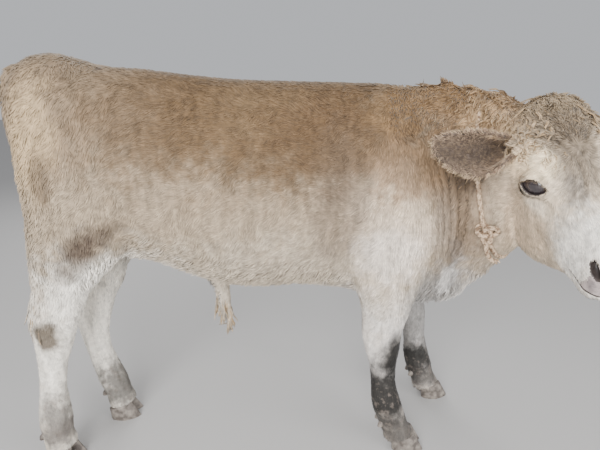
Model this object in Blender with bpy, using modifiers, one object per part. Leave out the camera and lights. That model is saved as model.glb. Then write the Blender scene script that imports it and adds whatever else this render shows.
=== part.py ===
"""A young polled bull calf of a pale beef breed, as a life-size still model.

The flesh is modelled as one clay form in a standing pose, with the head low and turned
to the calf's right, and is then parted into head, neck, torso and legs by cuts 0.3 mm
wide. Horn, eyes, ears, tail, sheath and the rope collar are pieces of their own.

The long axis runs along X with the head at +X, the calf's right side faces -Y, and the
soles stand on z = 0. Lengths are metres.
"""

import math
import random

import bmesh
import bpy
import numpy as np
from mathutils import Matrix, Vector
from mathutils.bvhtree import BVHTree

# The frame: the clay is laid out from the middle of the trunk and then moved by this
# much, which puts the origin under the middle of the finished box.
TO_ORIGIN = (-0.168, 0.127, 0.0)

# Gap between pieces that touch, and the size of the clay's grain.
GAP = 0.0003
GRAIN = 0.0075

# Driving heights and widths of the body.
WITHERS_Z = 1.053
CROUP_Z = 1.126
BELLY_Z = 0.522
CHEST_HALF = 0.180
BELLY_HALF = 0.205

# How far the left hock stands back from the line of its leg.
LEFT_HOCK_BACK = 0.018

# Head: place of the poll, turn to the right, dip below level, lean, and length.
POLL = (0.676, -0.168, 1.001)
HEAD_TURN = math.radians(84.0)
HEAD_DIP = math.radians(42.0)
HEAD_LEAN = math.radians(-7.0)
HEAD_LENGTH = 0.450

# Triangles that the flesh keeps, before it is parted.
FLESH_FACES = 3540
HEAD_SHARE = 0.005

# Where the head leaves the neck (in head lengths), and the neck the trunk.
HEAD_CUT = (0.085, -0.250, 0.0)
HEAD_CUT_FACING = (0.80, 0.33, -0.50)
NECK_CUT = (0.470, 0.0, 0.740)
NECK_CUT_FACING = (0.984, 0.0, 0.177)

# Feet: height of the coronet, its slope back to the heel, and the claws' sizes.
CORONET_Z = 0.050
CORONET_SLOPE = math.radians(14.0)
CLAW_LENGTH = 0.094
CLAW_WIDTH = 0.041
CLEFT = 0.006

# Eye: the ball's half length, height and depth, the lids' thickness, and the slit.
EYE_HALF = (0.0330, 0.0260, 0.0225)
LID_DEPTH = 0.0058
SLIT_HALF = (0.0310, 0.0172)

EAR_WIDTH = 0.106
EAR_THICK = 0.005
ROPE_RADIUS = 0.006

# The collar's knot: its place on the neck, how far it is slid towards the throat, and
# the size of its three loops.
KNOT_AT = Vector((0.566, -0.150, 0.700))
KNOT_ASIDE = Vector((0.012, 0.0, 0.0))
KNOT_SIZE = 0.0090

# The rope's free end: its way down from the knot.
ROPE_END = [
    (0.5574, -0.1805, 0.6654),
    (0.5594, -0.1800, 0.6529),
    (0.5644, -0.1785, 0.6409),
    (0.5714, -0.1755, 0.6294),
    (0.5814, -0.1715, 0.6194),
    (0.5934, -0.1675, 0.6134),
    (0.6044, -0.1645, 0.6104),
]

# Locks of long hair: number, length and width on the crest, poll, switch and sheath.
CREST_LOCKS = (32, 0.056, 0.038)
POLL_LOCKS = (12, 0.044, 0.029)
SWITCH_LOCKS = (9, 0.125, 0.022)
SHEATH_LOCKS = (6, 0.110, 0.018)
LOCK_SINK = 0.006

# Finish of each kind of piece: material, colour and roughness.
FINISHES = {
    "head": ("face_hide", (0.70, 0.63, 0.54), 0.85),
    "neck": ("neck_hide", (0.62, 0.50, 0.37), 0.85),
    "torso": ("body_hide", (0.61, 0.53, 0.43), 0.85),
    "fore_leg": ("fore_leg_hide", (0.72, 0.68, 0.62), 0.85),
    "hind_leg": ("hind_leg_hide", (0.68, 0.63, 0.57), 0.85),
    "ear": ("ear_hide", (0.56, 0.48, 0.40), 0.85),
    "eye": ("eye_wet", (0.03, 0.02, 0.02), 0.10),
    "claw": ("claw_horn", (0.27, 0.24, 0.21), 0.55),
    "dewclaw": ("dewclaw_horn", (0.24, 0.21, 0.18), 0.60),
    "tail": ("tail_hide", (0.62, 0.55, 0.47), 0.85),
    "tail_switch": ("switch_hair", (0.66, 0.60, 0.52), 0.85),
    "sheath": ("sheath_hair", (0.62, 0.57, 0.50), 0.85),
    "scrotum": ("scrotum_hide", (0.66, 0.58, 0.52), 0.80),
    "collar": ("collar_rope_fibre", (0.74, 0.68, 0.60), 0.90),
}


CHANCE = random.Random(7)


def clear_scene():
    """An empty file to model in."""
    for thing in list(bpy.data.objects):
        bpy.data.objects.remove(thing)


def finish(name, color, roughness):
    """A plain non-metal material of one colour."""
    material = bpy.data.materials.new(name)
    material.use_nodes = True
    shader = material.node_tree.nodes["Principled BSDF"]
    shader.inputs["Base Color"].default_value = (*color, 1.0)
    shader.inputs["Roughness"].default_value = roughness
    shader.inputs["Metallic"].default_value = 0.0
    return material


def make_collection(name, hidden):
    """A collection for the calf's pieces, or for the tools that shape them."""
    group = bpy.data.collections.new(name)
    group.hide_render = hidden
    bpy.context.scene.collection.children.link(group)
    return group


def mesh_object(name, points, faces, group):
    """An object from points and faces, with its faces turned outwards."""
    mesh = bpy.data.meshes.new(name)
    mesh.from_pydata([tuple(map(float, p)) for p in points], [], faces)
    shape = bmesh.new()
    shape.from_mesh(mesh)
    bmesh.ops.recalc_face_normals(shape, faces=shape.faces)
    shape.to_mesh(mesh)
    shape.free()
    thing = bpy.data.objects.new(name, mesh)
    group.objects.link(thing)
    return thing


def as_tool(thing):
    """A cutter or guide, kept out of the render."""
    thing.hide_render = True
    thing.display_type = "WIRE"
    return thing


def settle(thing):
    """The object's modifiers, worked into its own mesh."""
    graph = bpy.context.evaluated_depsgraph_get()
    mesh = bpy.data.meshes.new_from_object(thing.evaluated_get(graph))
    thing.modifiers.clear()
    thing.data = mesh


def through(rows, count):
    """Rows of numbers joined by a smooth curve, read at evenly spaced places."""
    rows = np.array(rows, float)
    ends = np.vstack([2 * rows[0] - rows[1], rows, 2 * rows[-1] - rows[-2]])
    place = np.linspace(0, len(rows) - 1 - 1e-9, count)
    first = place.astype(int)
    part = (place - first)[:, None]
    a, b, c, d = (ends[first + k] for k in range(4))
    return 0.5 * (2 * b + (c - a) * part + (2 * a - 5 * b + 4 * c - d) * part**2
                  + (3 * b - a - 3 * c + d) * part**3)


def loft(name, rings, group):
    """A closed form through rings of equal count, each end closed by a fan."""
    count = len(rings[0])
    points = [p for ring in rings for p in ring]
    faces = []
    for row in range(len(rings) - 1):
        for k in range(count):
            near, far = row * count, (row + 1) * count
            after = (k + 1) % count
            faces.append((near + k, near + after, far + after, far + k))
    for row in (0, len(rings) - 1):
        middle = len(points)
        points.append(np.mean(rings[row], axis=0))
        for k in range(count):
            faces.append((row * count + k, middle, row * count + (k + 1) % count))
    return mesh_object(name, points, faces, group)


def oval(centre, across, upward, half, above, below, square, count):
    """A ring whose upper and lower halves differ, from round (2) to square (4)."""
    turn = np.linspace(0, 2 * math.pi, count, endpoint=False)
    side = np.sign(np.cos(turn)) * np.abs(np.cos(turn)) ** (2 / square)
    rise = np.sign(np.sin(turn)) * np.abs(np.sin(turn)) ** (2 / square)
    height = np.where(rise > 0, above, below) * rise
    return (np.array(centre) + np.outer(side * half, across) + np.outer(height, upward))


def trunk_clay(group):
    """Barrel, rump and chest as ovals across X: place, top, bottom, half width, widest."""
    stations = [
        (-0.598, 1.060, 0.900, 0.070, 0.990),
        (-0.570, CROUP_Z - 0.012, 0.800, 0.118, 0.960),
        (-0.500, CROUP_Z, 0.680, 0.148, 0.930),
        (-0.400, 1.098, 0.622, 0.160, 0.880),
        (-0.290, 1.089, 0.598, BELLY_HALF - 0.026, 0.840),
        (-0.160, 1.073, 0.548, BELLY_HALF - 0.006, 0.800),
        (-0.040, 1.064, BELLY_Z, BELLY_HALF, 0.780),
        (0.090, 1.061, BELLY_Z + 0.004, BELLY_HALF - 0.006, 0.780),
        (0.210, 1.058, 0.506, CHEST_HALF, 0.780),
        (0.330, WITHERS_Z, 0.466, CHEST_HALF - 0.016, 0.760),
        (0.430, 1.026, 0.446, 0.148, 0.690),
        (0.510, 0.930, 0.446, 0.118, 0.620),
        (0.570, 0.800, 0.462, 0.078, 0.590),
        (0.600, 0.690, 0.490, 0.040, 0.580),
    ]
    rings = []
    for x, top, bottom, half, widest in through(stations, 40):
        rings.append(oval((x, 0, widest), (0, 1, 0), (0, 0, 1), half,
                          top - widest, widest - bottom, 2.15, 32))
    return loft("trunk", rings, group)


def neck_clay(group):
    """Neck, bending to the right: x, y, top, bottom, half width."""
    stations = [
        (0.330, 0.000, 1.050, 0.470, 0.140),
        (0.450, -0.006, 1.050, 0.458, 0.126),
        (0.550, -0.034, 1.044, 0.490, 0.112),
        (0.620, -0.080, 1.020, 0.555, 0.104),
        (0.664, -0.135, 0.990, 0.640, 0.100),
    ]
    path = through(stations, 14)
    rings = []
    for k, (x, y, top, bottom, half) in enumerate(path):
        ahead = path[min(k + 1, 13), :2] - path[max(k - 1, 0), :2]
        ahead /= np.linalg.norm(ahead)
        middle = top * 0.52 + bottom * 0.48
        rings.append(oval((x, y, middle), (-ahead[1], ahead[0], 0), (0, 0, 1), half,
                          top - middle, middle - bottom, 2.1, 28))
    return loft("neck", rings, group)


def leg_clay(name, stations, group):
    """A leg from level ovals: x, y, z, half length fore and aft, half width."""
    rings = []
    for x, y, z, fore, side in through(stations, 44):
        rings.append(oval((x, y, z), (1, 0, 0), (0, 1, 0), fore, side, side, 2.1, 20))
    return loft(name, rings, group)


def hind_leg_stations(side, stride):
    """A hind leg: stride moves the leg below the stifle forwards."""
    out = side
    back = LEFT_HOCK_BACK if side > 0 else 0.0
    return [
        (-0.490, 0.080 * out, 0.960, 0.100, 0.075),
        (-0.476, 0.088 * out, 0.850, 0.114, 0.092),
        (-0.468 + 0.15 * stride, 0.094 * out, 0.750, 0.119, 0.086),
        (-0.474 + 0.25 * stride, 0.098 * out, 0.665, 0.121, 0.076),
        (-0.506 + 0.40 * stride, 0.100 * out, 0.605, 0.092, 0.063),
        (-0.532 + 0.42 * stride, 0.101 * out, 0.550, 0.071, 0.051),
        (-0.553 + 0.48 * stride, 0.101 * out, 0.498, 0.070, 0.043),
        (-0.566 + 0.50 * stride - 0.4 * back, 0.100 * out, 0.450, 0.061, 0.041),
        (-0.578 + 0.52 * stride - 0.9 * back, 0.098 * out, 0.385, 0.050 + 0.4 * back, 0.036),
        (-0.592 + 0.62 * stride - back, 0.097 * out, 0.320, 0.038 + 0.45 * back, 0.031),
        (-0.602 + 0.80 * stride - 1.1 * back, 0.096 * out, 0.250, 0.035 + 0.2 * back, 0.029),
        (-0.609 + 1.00 * stride - 0.8 * back, 0.095 * out, 0.185, 0.041, 0.034),
        (-0.612 + 1.08 * stride - 0.3 * back, 0.094 * out, 0.135, 0.044, 0.040),
        (-0.613 + 1.16 * stride, 0.094 * out, 0.090, 0.040, 0.038),
        (-0.606 + 1.20 * stride, 0.093 * out, 0.050, 0.045, 0.042),
        (-0.602 + 1.20 * stride, 0.093 * out, 0.025, 0.047, 0.043),
    ]


def fore_leg_stations(side, stride):
    """A fore leg: stride moves the foot forwards, and the knee less."""
    out = side
    return [
        (0.345 + 0.20 * stride, 0.100 * out, 0.800, 0.105, 0.062),
        (0.340 + 0.22 * stride, 0.110 * out, 0.700, 0.118, 0.072),
        (0.334 + 0.30 * stride, 0.114 * out, 0.620, 0.110, 0.070),
        (0.327 + 0.45 * stride, 0.116 * out, 0.555, 0.096, 0.062),
        (0.327 + 0.60 * stride, 0.117 * out, 0.500, 0.076, 0.053),
        (0.324 + 0.70 * stride, 0.118 * out, 0.450, 0.063, 0.046),
        (0.317 + 0.84 * stride, 0.118 * out, 0.390, 0.056, 0.041),
        (0.321 + 0.94 * stride, 0.118 * out, 0.340, 0.049, 0.041),
        (0.325 + 1.00 * stride, 0.118 * out, 0.290, 0.038, 0.036),
        (0.329 + 1.02 * stride, 0.118 * out, 0.235, 0.035, 0.030),
        (0.339 + 1.02 * stride, 0.118 * out, 0.175, 0.041, 0.036),
        (0.352 + 1.01 * stride, 0.118 * out, 0.130, 0.044, 0.041),
        (0.366 + 1.00 * stride, 0.118 * out, 0.090, 0.042, 0.038),
        (0.383 + 1.00 * stride, 0.118 * out, 0.052, 0.044, 0.042),
        (0.388 + 1.00 * stride, 0.118 * out, 0.025, 0.046, 0.043),
    ]


# Strides: how far each foot stands ahead of the hindmost foot of its pair.
STRIDES = {
    "hind_leg_right": (-1, 0.000),
    "hind_leg_left": (1, 0.100),
    "fore_leg_right": (-1, 0.000),
    "fore_leg_left": (1, 0.166),
}


def head_axes():
    """The head's own axes in the room: towards the muzzle, up from the face, right."""
    ahead = np.array([math.cos(HEAD_DIP) * math.cos(HEAD_TURN),
                      -math.cos(HEAD_DIP) * math.sin(HEAD_TURN), -math.sin(HEAD_DIP)])
    right = np.cross(ahead, (0, 0, 1))
    right /= np.linalg.norm(right)
    up = np.cross(right, ahead)
    leaned = math.cos(HEAD_LEAN) * right + math.sin(HEAD_LEAN) * up
    return ahead, np.cross(leaned, ahead), leaned


def from_head(points):
    """Points given in head lengths (ahead, up, right) from the poll, in the room."""
    axes = np.array(head_axes())
    return np.array(POLL) + HEAD_LENGTH * np.asarray(points, float) @ axes


def to_head(points):
    """Points in the room, in head lengths from the poll."""
    axes = np.array(head_axes())
    return (np.asarray(points, float) - np.array(POLL)) @ axes.T / HEAD_LENGTH


def head_clay(group):
    """Skull and jaw as ovals down the face: place, top, bottom, half width, widest."""
    stations = [
        (-0.070, -0.035, -0.240, 0.110, -0.130),
        (0.010, 0.036, -0.380, 0.204, -0.120),
        (0.120, 0.072, -0.500, 0.242, -0.120),
        (0.260, 0.062, -0.600, 0.234, -0.145),
        (0.400, 0.030, -0.655, 0.200, -0.170),
        (0.540, 0.008, -0.640, 0.164, -0.180),
        (0.660, -0.010, -0.535, 0.134, -0.190),
        (0.750, -0.022, -0.425, 0.118, -0.190),
        (0.830, -0.032, -0.362, 0.120, -0.180),
        (0.895, -0.044, -0.340, 0.127, -0.180),
        (0.945, -0.076, -0.312, 0.112, -0.190),
        (0.975, -0.120, -0.265, 0.070, -0.195),
    ]
    rings = []
    for place, top, bottom, half, widest in through(stations, 40):
        ring = oval((place, widest, 0), (0, 0, 1), (0, 1, 0), half,
                    top - widest, widest - bottom, 2.2, 32)
        rings.append(from_head(ring))
    return loft("skull", rings, group)


def ball(name, centre, radii, rings, group):
    """An ellipsoid along the room's axes."""
    shape = bmesh.new()
    bmesh.ops.create_uvsphere(shape, u_segments=2 * rings, v_segments=rings, radius=1.0)
    mesh = bpy.data.meshes.new(name)
    shape.to_mesh(mesh)
    shape.free()
    thing = bpy.data.objects.new(name, mesh)
    mesh.transform(Matrix.Translation(centre) @ Matrix.Diagonal((*radii, 1.0)))
    group.objects.link(thing)
    return thing


def head_ball(name, centre, radii, rings, group):
    """An ellipsoid along the head's axes, sized in head lengths."""
    thing = ball(name, (0, 0, 0), radii, rings, group)
    points = np.array([v.co for v in thing.data.vertices]) + np.array(centre)
    for vertex, place in zip(thing.data.vertices, from_head(points)):
        vertex.co = place
    shape = bmesh.new()
    shape.from_mesh(thing.data)
    bmesh.ops.recalc_face_normals(shape, faces=shape.faces)
    shape.to_mesh(thing.data)
    shape.free()
    return thing


def head_lumps(group):
    """Clay laid on the skull: brows over the eyes, cheeks, poll and muzzle."""
    lumps = [head_ball("poll", (0.020, 0.004, -0.014), (0.095, 0.072, 0.165), 12, group)]
    for side in (-1, 1):
        lumps.append(head_ball("brow", (0.395, -0.095, 0.150 * side),
                               (0.105, 0.072, 0.074), 12, group))
        lumps.append(head_ball("cheek", (0.400, -0.330, 0.112 * side),
                               (0.190, 0.160, 0.070), 12, group))
        lumps.append(head_ball("nostril_wing", (0.880, -0.110, 0.066 * side),
                               (0.062, 0.055, 0.056), 10, group))
    lumps.append(head_ball("chin", (0.870, -0.305, 0), (0.070, 0.046, 0.085), 10, group))
    lumps.append(head_ball("throat", (0.240, -0.470, 0), (0.170, 0.150, 0.190), 12, group))
    return lumps


def join_clay(pieces, name, group):
    """All the clay as one skin of even grain, smoothed."""
    whole = bmesh.new()
    for piece in pieces:
        whole.from_mesh(piece.data)
        bpy.data.objects.remove(piece)
    mesh = bpy.data.meshes.new(name)
    whole.to_mesh(mesh)
    whole.free()
    thing = bpy.data.objects.new(name, mesh)
    group.objects.link(thing)
    grain = thing.modifiers.new("grain", "REMESH")
    grain.mode = "VOXEL"
    grain.voxel_size = GRAIN
    ease = thing.modifiers.new("ease", "SMOOTH")
    ease.factor = 0.5
    ease.iterations = 9
    settle(thing)
    return thing


def swell(points, centre, reach, move):
    """Points near the centre moved, by less the further off they lie."""
    away = (points - np.array(centre)) / np.array(reach)
    points += np.exp(-(away**2).sum(axis=1))[:, None] * np.array(move)


def sculpt_body(points):
    """Bones and muscles that show through the hide, on both sides."""
    for side in (-1, 1):
        swell(points, (-0.330, 0.185 * side, 0.930), (0.075, 0.080, 0.085),
              (0, -0.014 * side, 0))
        swell(points, (-0.430, 0.150 * side, 1.030), (0.055, 0.060, 0.045),
              (0, 0.012 * side, 0.004))
        swell(points, (-0.600, 0.075 * side, 1.000), (0.050, 0.050, 0.060),
              (-0.012, 0, 0))
        swell(points, (-0.390, 0.160 * side, 0.690), (0.065, 0.070, 0.075),
              (0, 0.010 * side, 0))
        swell(points, (0.340, 0.160 * side, 0.830), (0.080, 0.070, 0.150),
              (0, 0.010 * side, 0))
        swell(points, (0.205, 0.185 * side, 0.760), (0.040, 0.070, 0.190),
              (0, -0.009 * side, 0))
        swell(points, (0.455, 0.130 * side, 0.660), (0.060, 0.060, 0.070),
              (0.004, 0.012 * side, 0))
    swell(points, (-0.603, 0, 0.930), (0.050, 0.026, 0.160), (0.026, 0, 0))


def sculpt_head(points):
    """Hollows and ridges of the face, worked in head lengths."""
    near = np.linalg.norm(points - from_head((0.45, -0.2, 0)), axis=1) < 0.75 * HEAD_LENGTH
    local = to_head(points[near])
    for side in (-1, 1):
        swell(local, (0.420, -0.135, 0.235 * side), (0.050, 0.045, 0.060),
              (0, 0, -0.016 * side))
        swell(local, (0.400, -0.050, 0.200 * side), (0.075, 0.030, 0.060),
              (0, 0.008, 0.010 * side))
        swell(local, (0.560, -0.130, 0.165 * side), (0.090, 0.070, 0.060),
              (0, 0, -0.014 * side))
        swell(local, (0.230, -0.090, 0.200 * side), (0.070, 0.060, 0.060),
              (0, 0, -0.012 * side))
        swell(local, (0.600, -0.320, 0.110 * side), (0.090, 0.060, 0.060),
              (0, 0, -0.010 * side))
        swell(local, (0.800, -0.285, 0.110 * side), (0.080, 0.022, 0.050),
              (0, 0, -0.006 * side))
    swell(local, (0.520, 0.010, 0), (0.120, 0.050, 0.060), (0, -0.012, 0))
    swell(local, (0.180, 0.030, 0), (0.120, 0.060, 0.090), (0, 0.010, 0))
    points[near] = from_head(local)


def sculpt(flesh):
    """The whole skin worked over by hand, as it were."""
    points = np.array([v.co for v in flesh.data.vertices])
    sculpt_body(points)
    sculpt_head(points)
    flesh.data.vertices.foreach_set("co", points.ravel())
    flesh.data.update()


def thin_out(flesh):
    """Fewer faces, with the smallest ones kept for the head and the feet."""
    points = np.array([v.co for v in flesh.data.vertices])
    local = to_head(points)
    face = np.exp(-((local - (0.55, -0.20, 0)) ** 2 / (0.50, 0.34, 0.34)).sum(axis=1) ** 4)
    foot = 0.35 * np.clip((0.20 - points[:, 2]) / 0.10, 0, 1)
    weight = np.maximum(face, foot)
    group = flesh.vertex_groups.new(name="fine")
    for level in range(1, 11):
        chosen = np.nonzero(np.round(weight * 10) == level)[0]
        if len(chosen):
            group.add(chosen.tolist(), level / 12, "REPLACE")
    fewer = flesh.modifiers.new("fewer", "DECIMATE")
    fewer.ratio = FLESH_FACES / (2 * len(flesh.data.polygons))
    fewer.vertex_group = "fine"
    fewer.vertex_group_factor = HEAD_SHARE
    fewer.invert_vertex_group = True
    fewer.use_collapse_triangulate = True
    settle(flesh)
    flesh.vertex_groups.clear()


def combine(thing, tool, operation):
    """The object joined with, cut by, or kept inside a tool."""
    step = thing.modifiers.new("combine", "BOOLEAN")
    step.object = tool
    step.operation = operation
    step.solver = "EXACT"
    settle(thing)


def keep_largest(thing):
    """Only the largest closed surface, in clean triangles."""
    shape = bmesh.new()
    shape.from_mesh(thing.data)
    bmesh.ops.remove_doubles(shape, verts=shape.verts, dist=2e-6)
    bmesh.ops.dissolve_degenerate(shape, edges=shape.edges, dist=2e-6)
    bmesh.ops.triangulate(shape, faces=shape.faces)
    waiting = set(shape.faces)
    best, most = [], -1.0
    while waiting:
        island = [waiting.pop()]
        for face in island:
            for edge in face.edges:
                for other in edge.link_faces:
                    if other in waiting:
                        waiting.remove(other)
                        island.append(other)
        content = sum(f.verts[0].co.dot(f.verts[1].co.cross(f.verts[2].co)) for f in island)
        if content > most:
            best, most = island, content
    kept = set(best)
    rest = [f for f in shape.faces if f not in kept]
    bmesh.ops.delete(shape, geom=rest, context="FACES")
    shape.to_mesh(thing.data)
    shape.free()


def copy_of(thing, name, group, grow=0.0):
    """A copy of an object, grown outwards by a little."""
    twin = thing.copy()
    twin.data = thing.data.copy()
    twin.name = name
    group.objects.link(twin)
    if grow:
        shape = bmesh.new()
        shape.from_mesh(twin.data)
        shape.normal_update()
        for vertex in shape.verts:
            vertex.co += grow * vertex.normal * vertex.calc_shell_factor()
        shape.to_mesh(twin.data)
        shape.free()
    return twin


def leg_region(kind, side, stride, grow, tools):
    """The space that a leg takes out of the body: level ovals that close at the top."""
    if kind == "hind":
        rows = [
            (-0.600 + 1.20 * stride, 0.102, -0.020, 0.120, 0.085),
            (-0.600 + 1.00 * stride, 0.102, 0.280, 0.120, 0.085),
            (-0.560 + 0.60 * stride, 0.102, 0.480, 0.140, 0.086),
            (-0.510 + 0.30 * stride, 0.112, 0.620, 0.180, 0.094),
            (-0.500, 0.130, 0.740, 0.180, 0.098),
            (-0.505, 0.146, 0.850, 0.155, 0.086),
            (-0.510, 0.158, 0.930, 0.110, 0.062),
            (-0.512, 0.164, 0.975, 0.050, 0.030),
        ]
    else:
        rows = [
            (0.412 + stride, 0.118, -0.020, 0.120, 0.085),
            (0.340 + stride, 0.118, 0.260, 0.110, 0.085),
            (0.325 + 0.70 * stride, 0.122, 0.440, 0.118, 0.084),
            (0.333 + 0.40 * stride, 0.130, 0.560, 0.132, 0.082),
            (0.340 + 0.26 * stride, 0.142, 0.680, 0.128, 0.080),
            (0.346 + 0.20 * stride, 0.154, 0.800, 0.104, 0.072),
            (0.350 + 0.18 * stride, 0.164, 0.890, 0.066, 0.050),
            (0.352 + 0.18 * stride, 0.168, 0.930, 0.030, 0.024),
        ]
    rings = []
    for x, y, z, fore, out in through(rows, 11):
        rings.append(oval((x, y * side, z + grow * (z > 0.9)), (1, 0, 0), (0, 1, 0),
                          fore + grow, out + grow, out + grow, 2.2, 18))
    return as_tool(loft("leg_region", rings, tools))


def block_below(centre, normal, width, depth, tools):
    """A block whose top face is centred on a point, square to a direction."""
    shape = bmesh.new()
    bmesh.ops.create_cube(shape, size=1.0)
    mesh = bpy.data.meshes.new("block")
    shape.to_mesh(mesh)
    shape.free()
    upward = Vector(normal).normalized()
    turn = upward.to_track_quat("Z", "Y").to_matrix().to_4x4()
    middle = Vector(centre) - upward * depth / 2
    mesh.transform(Matrix.Translation(middle) @ turn @ Matrix.Diagonal((width, width, depth, 1)))
    thing = bpy.data.objects.new("block", mesh)
    tools.objects.link(thing)
    return as_tool(thing)


def part_flesh(flesh, calf, tools):
    """The flesh parted into legs, then neck, head and torso."""
    nodes = {}
    for name, (side, stride) in STRIDES.items():
        kind = name.split("_")[0]
        leg = copy_of(flesh, name, calf)
        combine(leg, leg_region(kind, side, stride, 0.0, tools), "INTERSECT")
        keep_largest(leg)
        nodes[name] = leg
    for name, (side, stride) in STRIDES.items():
        kind = name.split("_")[0]
        combine(flesh, leg_region(kind, side, stride, GAP, tools), "DIFFERENCE")
    keep_largest(flesh)
    head_cut = from_head(HEAD_CUT)
    backwards = -(np.array(HEAD_CUT_FACING) @ np.array(head_axes()))
    for name, cut, facing, width, depth in (
            ("head", head_cut, backwards, 0.64, 0.62),
            ("torso", NECK_CUT, NECK_CUT_FACING, 1.60, 1.60)):
        piece = copy_of(flesh, name, calf)
        face = Vector(facing).normalized() * GAP / 2
        combine(piece, block_below(Vector(cut) - face, facing, width, depth, tools),
                "INTERSECT")
        keep_largest(piece)
        nodes[name] = piece
        combine(flesh, block_below(Vector(cut) + face, facing, width + 2 * GAP, depth, tools),
                "DIFFERENCE")
    keep_largest(flesh)
    flesh.name = "neck"
    nodes["neck"] = flesh
    return nodes


def head_block(name, centre, axes, radii, rings, tools):
    """An ellipsoid whose own three axes are given along the head's axes."""
    thing = ball(name, (0, 0, 0), (1, 1, 1), rings, tools)
    unit = np.array([v.co for v in thing.data.vertices])
    turned = (unit * np.array(radii)) @ (np.array(axes, float) @ np.array(head_axes()))
    for vertex, place in zip(thing.data.vertices, from_head(centre) + turned):
        vertex.co = place
    outwards(thing)
    return as_tool(thing)


def outwards(thing):
    """Faces turned to the outside."""
    shape = bmesh.new()
    shape.from_mesh(thing.data)
    bmesh.ops.recalc_face_normals(shape, faces=shape.faces)
    shape.to_mesh(thing.data)
    shape.free()


def eye_axes(side):
    """The eye's long, short and outward axes, along the head's axes."""
    out = np.array([0.50, 0.24, 0.83 * side])
    out /= np.linalg.norm(out)
    slant = math.radians(28.0)
    long = np.array([math.cos(slant), math.sin(slant), 0.0])
    long -= out * (long @ out)
    long /= np.linalg.norm(long)
    return np.array([long, np.cross(out, long), out])


def eye_centre(side):
    """The middle of the eyeball, in head lengths."""
    return np.array([0.402, -0.095, 0.188 * side])


def eyelid_slit(side, tools):
    """The almond opening between the lids, as a prism through them."""
    axes = eye_axes(side) @ np.array(head_axes())
    steps = 8
    along = np.linspace(-1, 1, steps + 1)
    upper = [(x, 1 - x * x) for x in along]
    lower = [(-x, x * x - 1) for x in along[1:-1]]
    outline = [(SLIT_HALF[0] * x, SLIT_HALF[1] * y) for x, y in upper + lower]
    centre = from_head(eye_centre(side))
    rings = []
    for depth in (0.35 * EYE_HALF[2], 2.0 * EYE_HALF[2]):
        rings.append([centre + x * axes[0] + y * axes[1] + depth * axes[2]
                      for x, y in outline])
    return as_tool(loft("slit", rings, tools))


def eyes_and_lids(head, calf, tools):
    """Eyeballs, sockets that hold them, and lids that part in an almond slit."""
    eyes = {}
    for name, side in (("eye_right", 1), ("eye_left", -1)):
        centre, axes = eye_centre(side), eye_axes(side)
        lids = head_block("lids", centre, axes, np.array(EYE_HALF) + LID_DEPTH, 10, tools)
        socket = head_block("socket", centre, axes, np.array(EYE_HALF) + GAP, 8, tools)
        combine(head, lids, "UNION")
        combine(head, eyelid_slit(side, tools), "DIFFERENCE")
        combine(head, socket, "DIFFERENCE")
        ball_piece = head_block(name, centre, axes, EYE_HALF, 8, calf)
        ball_piece.hide_render = False
        ball_piece.display_type = "TEXTURED"
        eyes[name] = ball_piece
    return eyes


def nostrils(head, tools):
    """Comma-shaped openings at the muzzle's corners, running back into the nose."""
    for side in (-1, 1):
        inward = np.array([-0.80, -0.10, -0.45 * side])
        inward /= np.linalg.norm(inward)
        slit = np.array([-0.15, 0.62, 0.70 * side])
        slit -= inward * (slit @ inward)
        slit /= np.linalg.norm(slit)
        axes = [slit, np.cross(inward, slit), inward]
        hole = head_block("nostril", (0.885, -0.108, 0.112 * side), axes,
                          (0.0175, 0.0095, 0.0260), 8, tools)
        combine(head, hole, "DIFFERENCE")


def mouth_level(place):
    """Height of the line of the lips at a place along the muzzle, in head lengths."""
    return -0.285 + 0.050 * np.clip((place - 0.80) / 0.10, 0, 1)


def mouth_line(head, tools):
    """The parting of the lips, a wedge that runs round the muzzle."""
    rings = []
    for turn in np.radians(np.linspace(-98, 98, 21)):
        fore, side = math.cos(turn), math.sin(turn)
        inner = (0.815 + 0.110 * fore, 0.090 * side)
        outer = (0.815 + 0.240 * fore, 0.190 * side)
        level = mouth_level(inner[0])
        rings.append(from_head([(inner[0], level - 0.001, inner[1]),
                                (inner[0], level + 0.001, inner[1]),
                                (outer[0], level + 0.008, outer[1]),
                                (outer[0], level - 0.008, outer[1])]))
    combine(head, as_tool(loft("lips", rings, tools)), "DIFFERENCE")


def cupped_ring(middle, wide, facing, half, arc, thick, count):
    """A ring shaped like a C: an outer arc, and an inner one back."""
    reach = half / math.sin(min(arc, math.pi / 2))
    turns = np.linspace(-arc, arc, count)
    ring = []
    for radius, order in ((reach, turns), (reach - thick, turns[::-1])):
        for turn in order:
            ring.append(middle + radius * math.sin(turn) * wide
                        + (reach * math.cos(arc) - radius * math.cos(turn)) * facing)
    return ring


def strip_caps(rings, name, group):
    """A loft through C-shaped rings, whose ends are closed across their thickness."""
    count = len(rings[0])
    half = count // 2
    points = [p for ring in rings for p in ring]
    faces = []
    for row in range(len(rings) - 1):
        near, far = row * count, (row + 1) * count
        for k in range(count):
            after = (k + 1) % count
            faces.append((near + k, near + after, far + after, far + k))
    for start in (0, (len(rings) - 1) * count):
        for k in range(half - 1):
            faces.append((start + k, start + k + 1,
                          start + count - 2 - k, start + count - 1 - k))
    return mesh_object(name, points, faces, group)


def ear_bases(flesh, tools):
    """The fleshy mounds that the ears stand on."""
    for side in (-1, 1):
        mound = head_block("ear_base", (0.182, -0.040, 0.188 * side), np.eye(3),
                           (0.026, 0.023, 0.036), 8, tools)
        combine(flesh, mound, "UNION")


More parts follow.
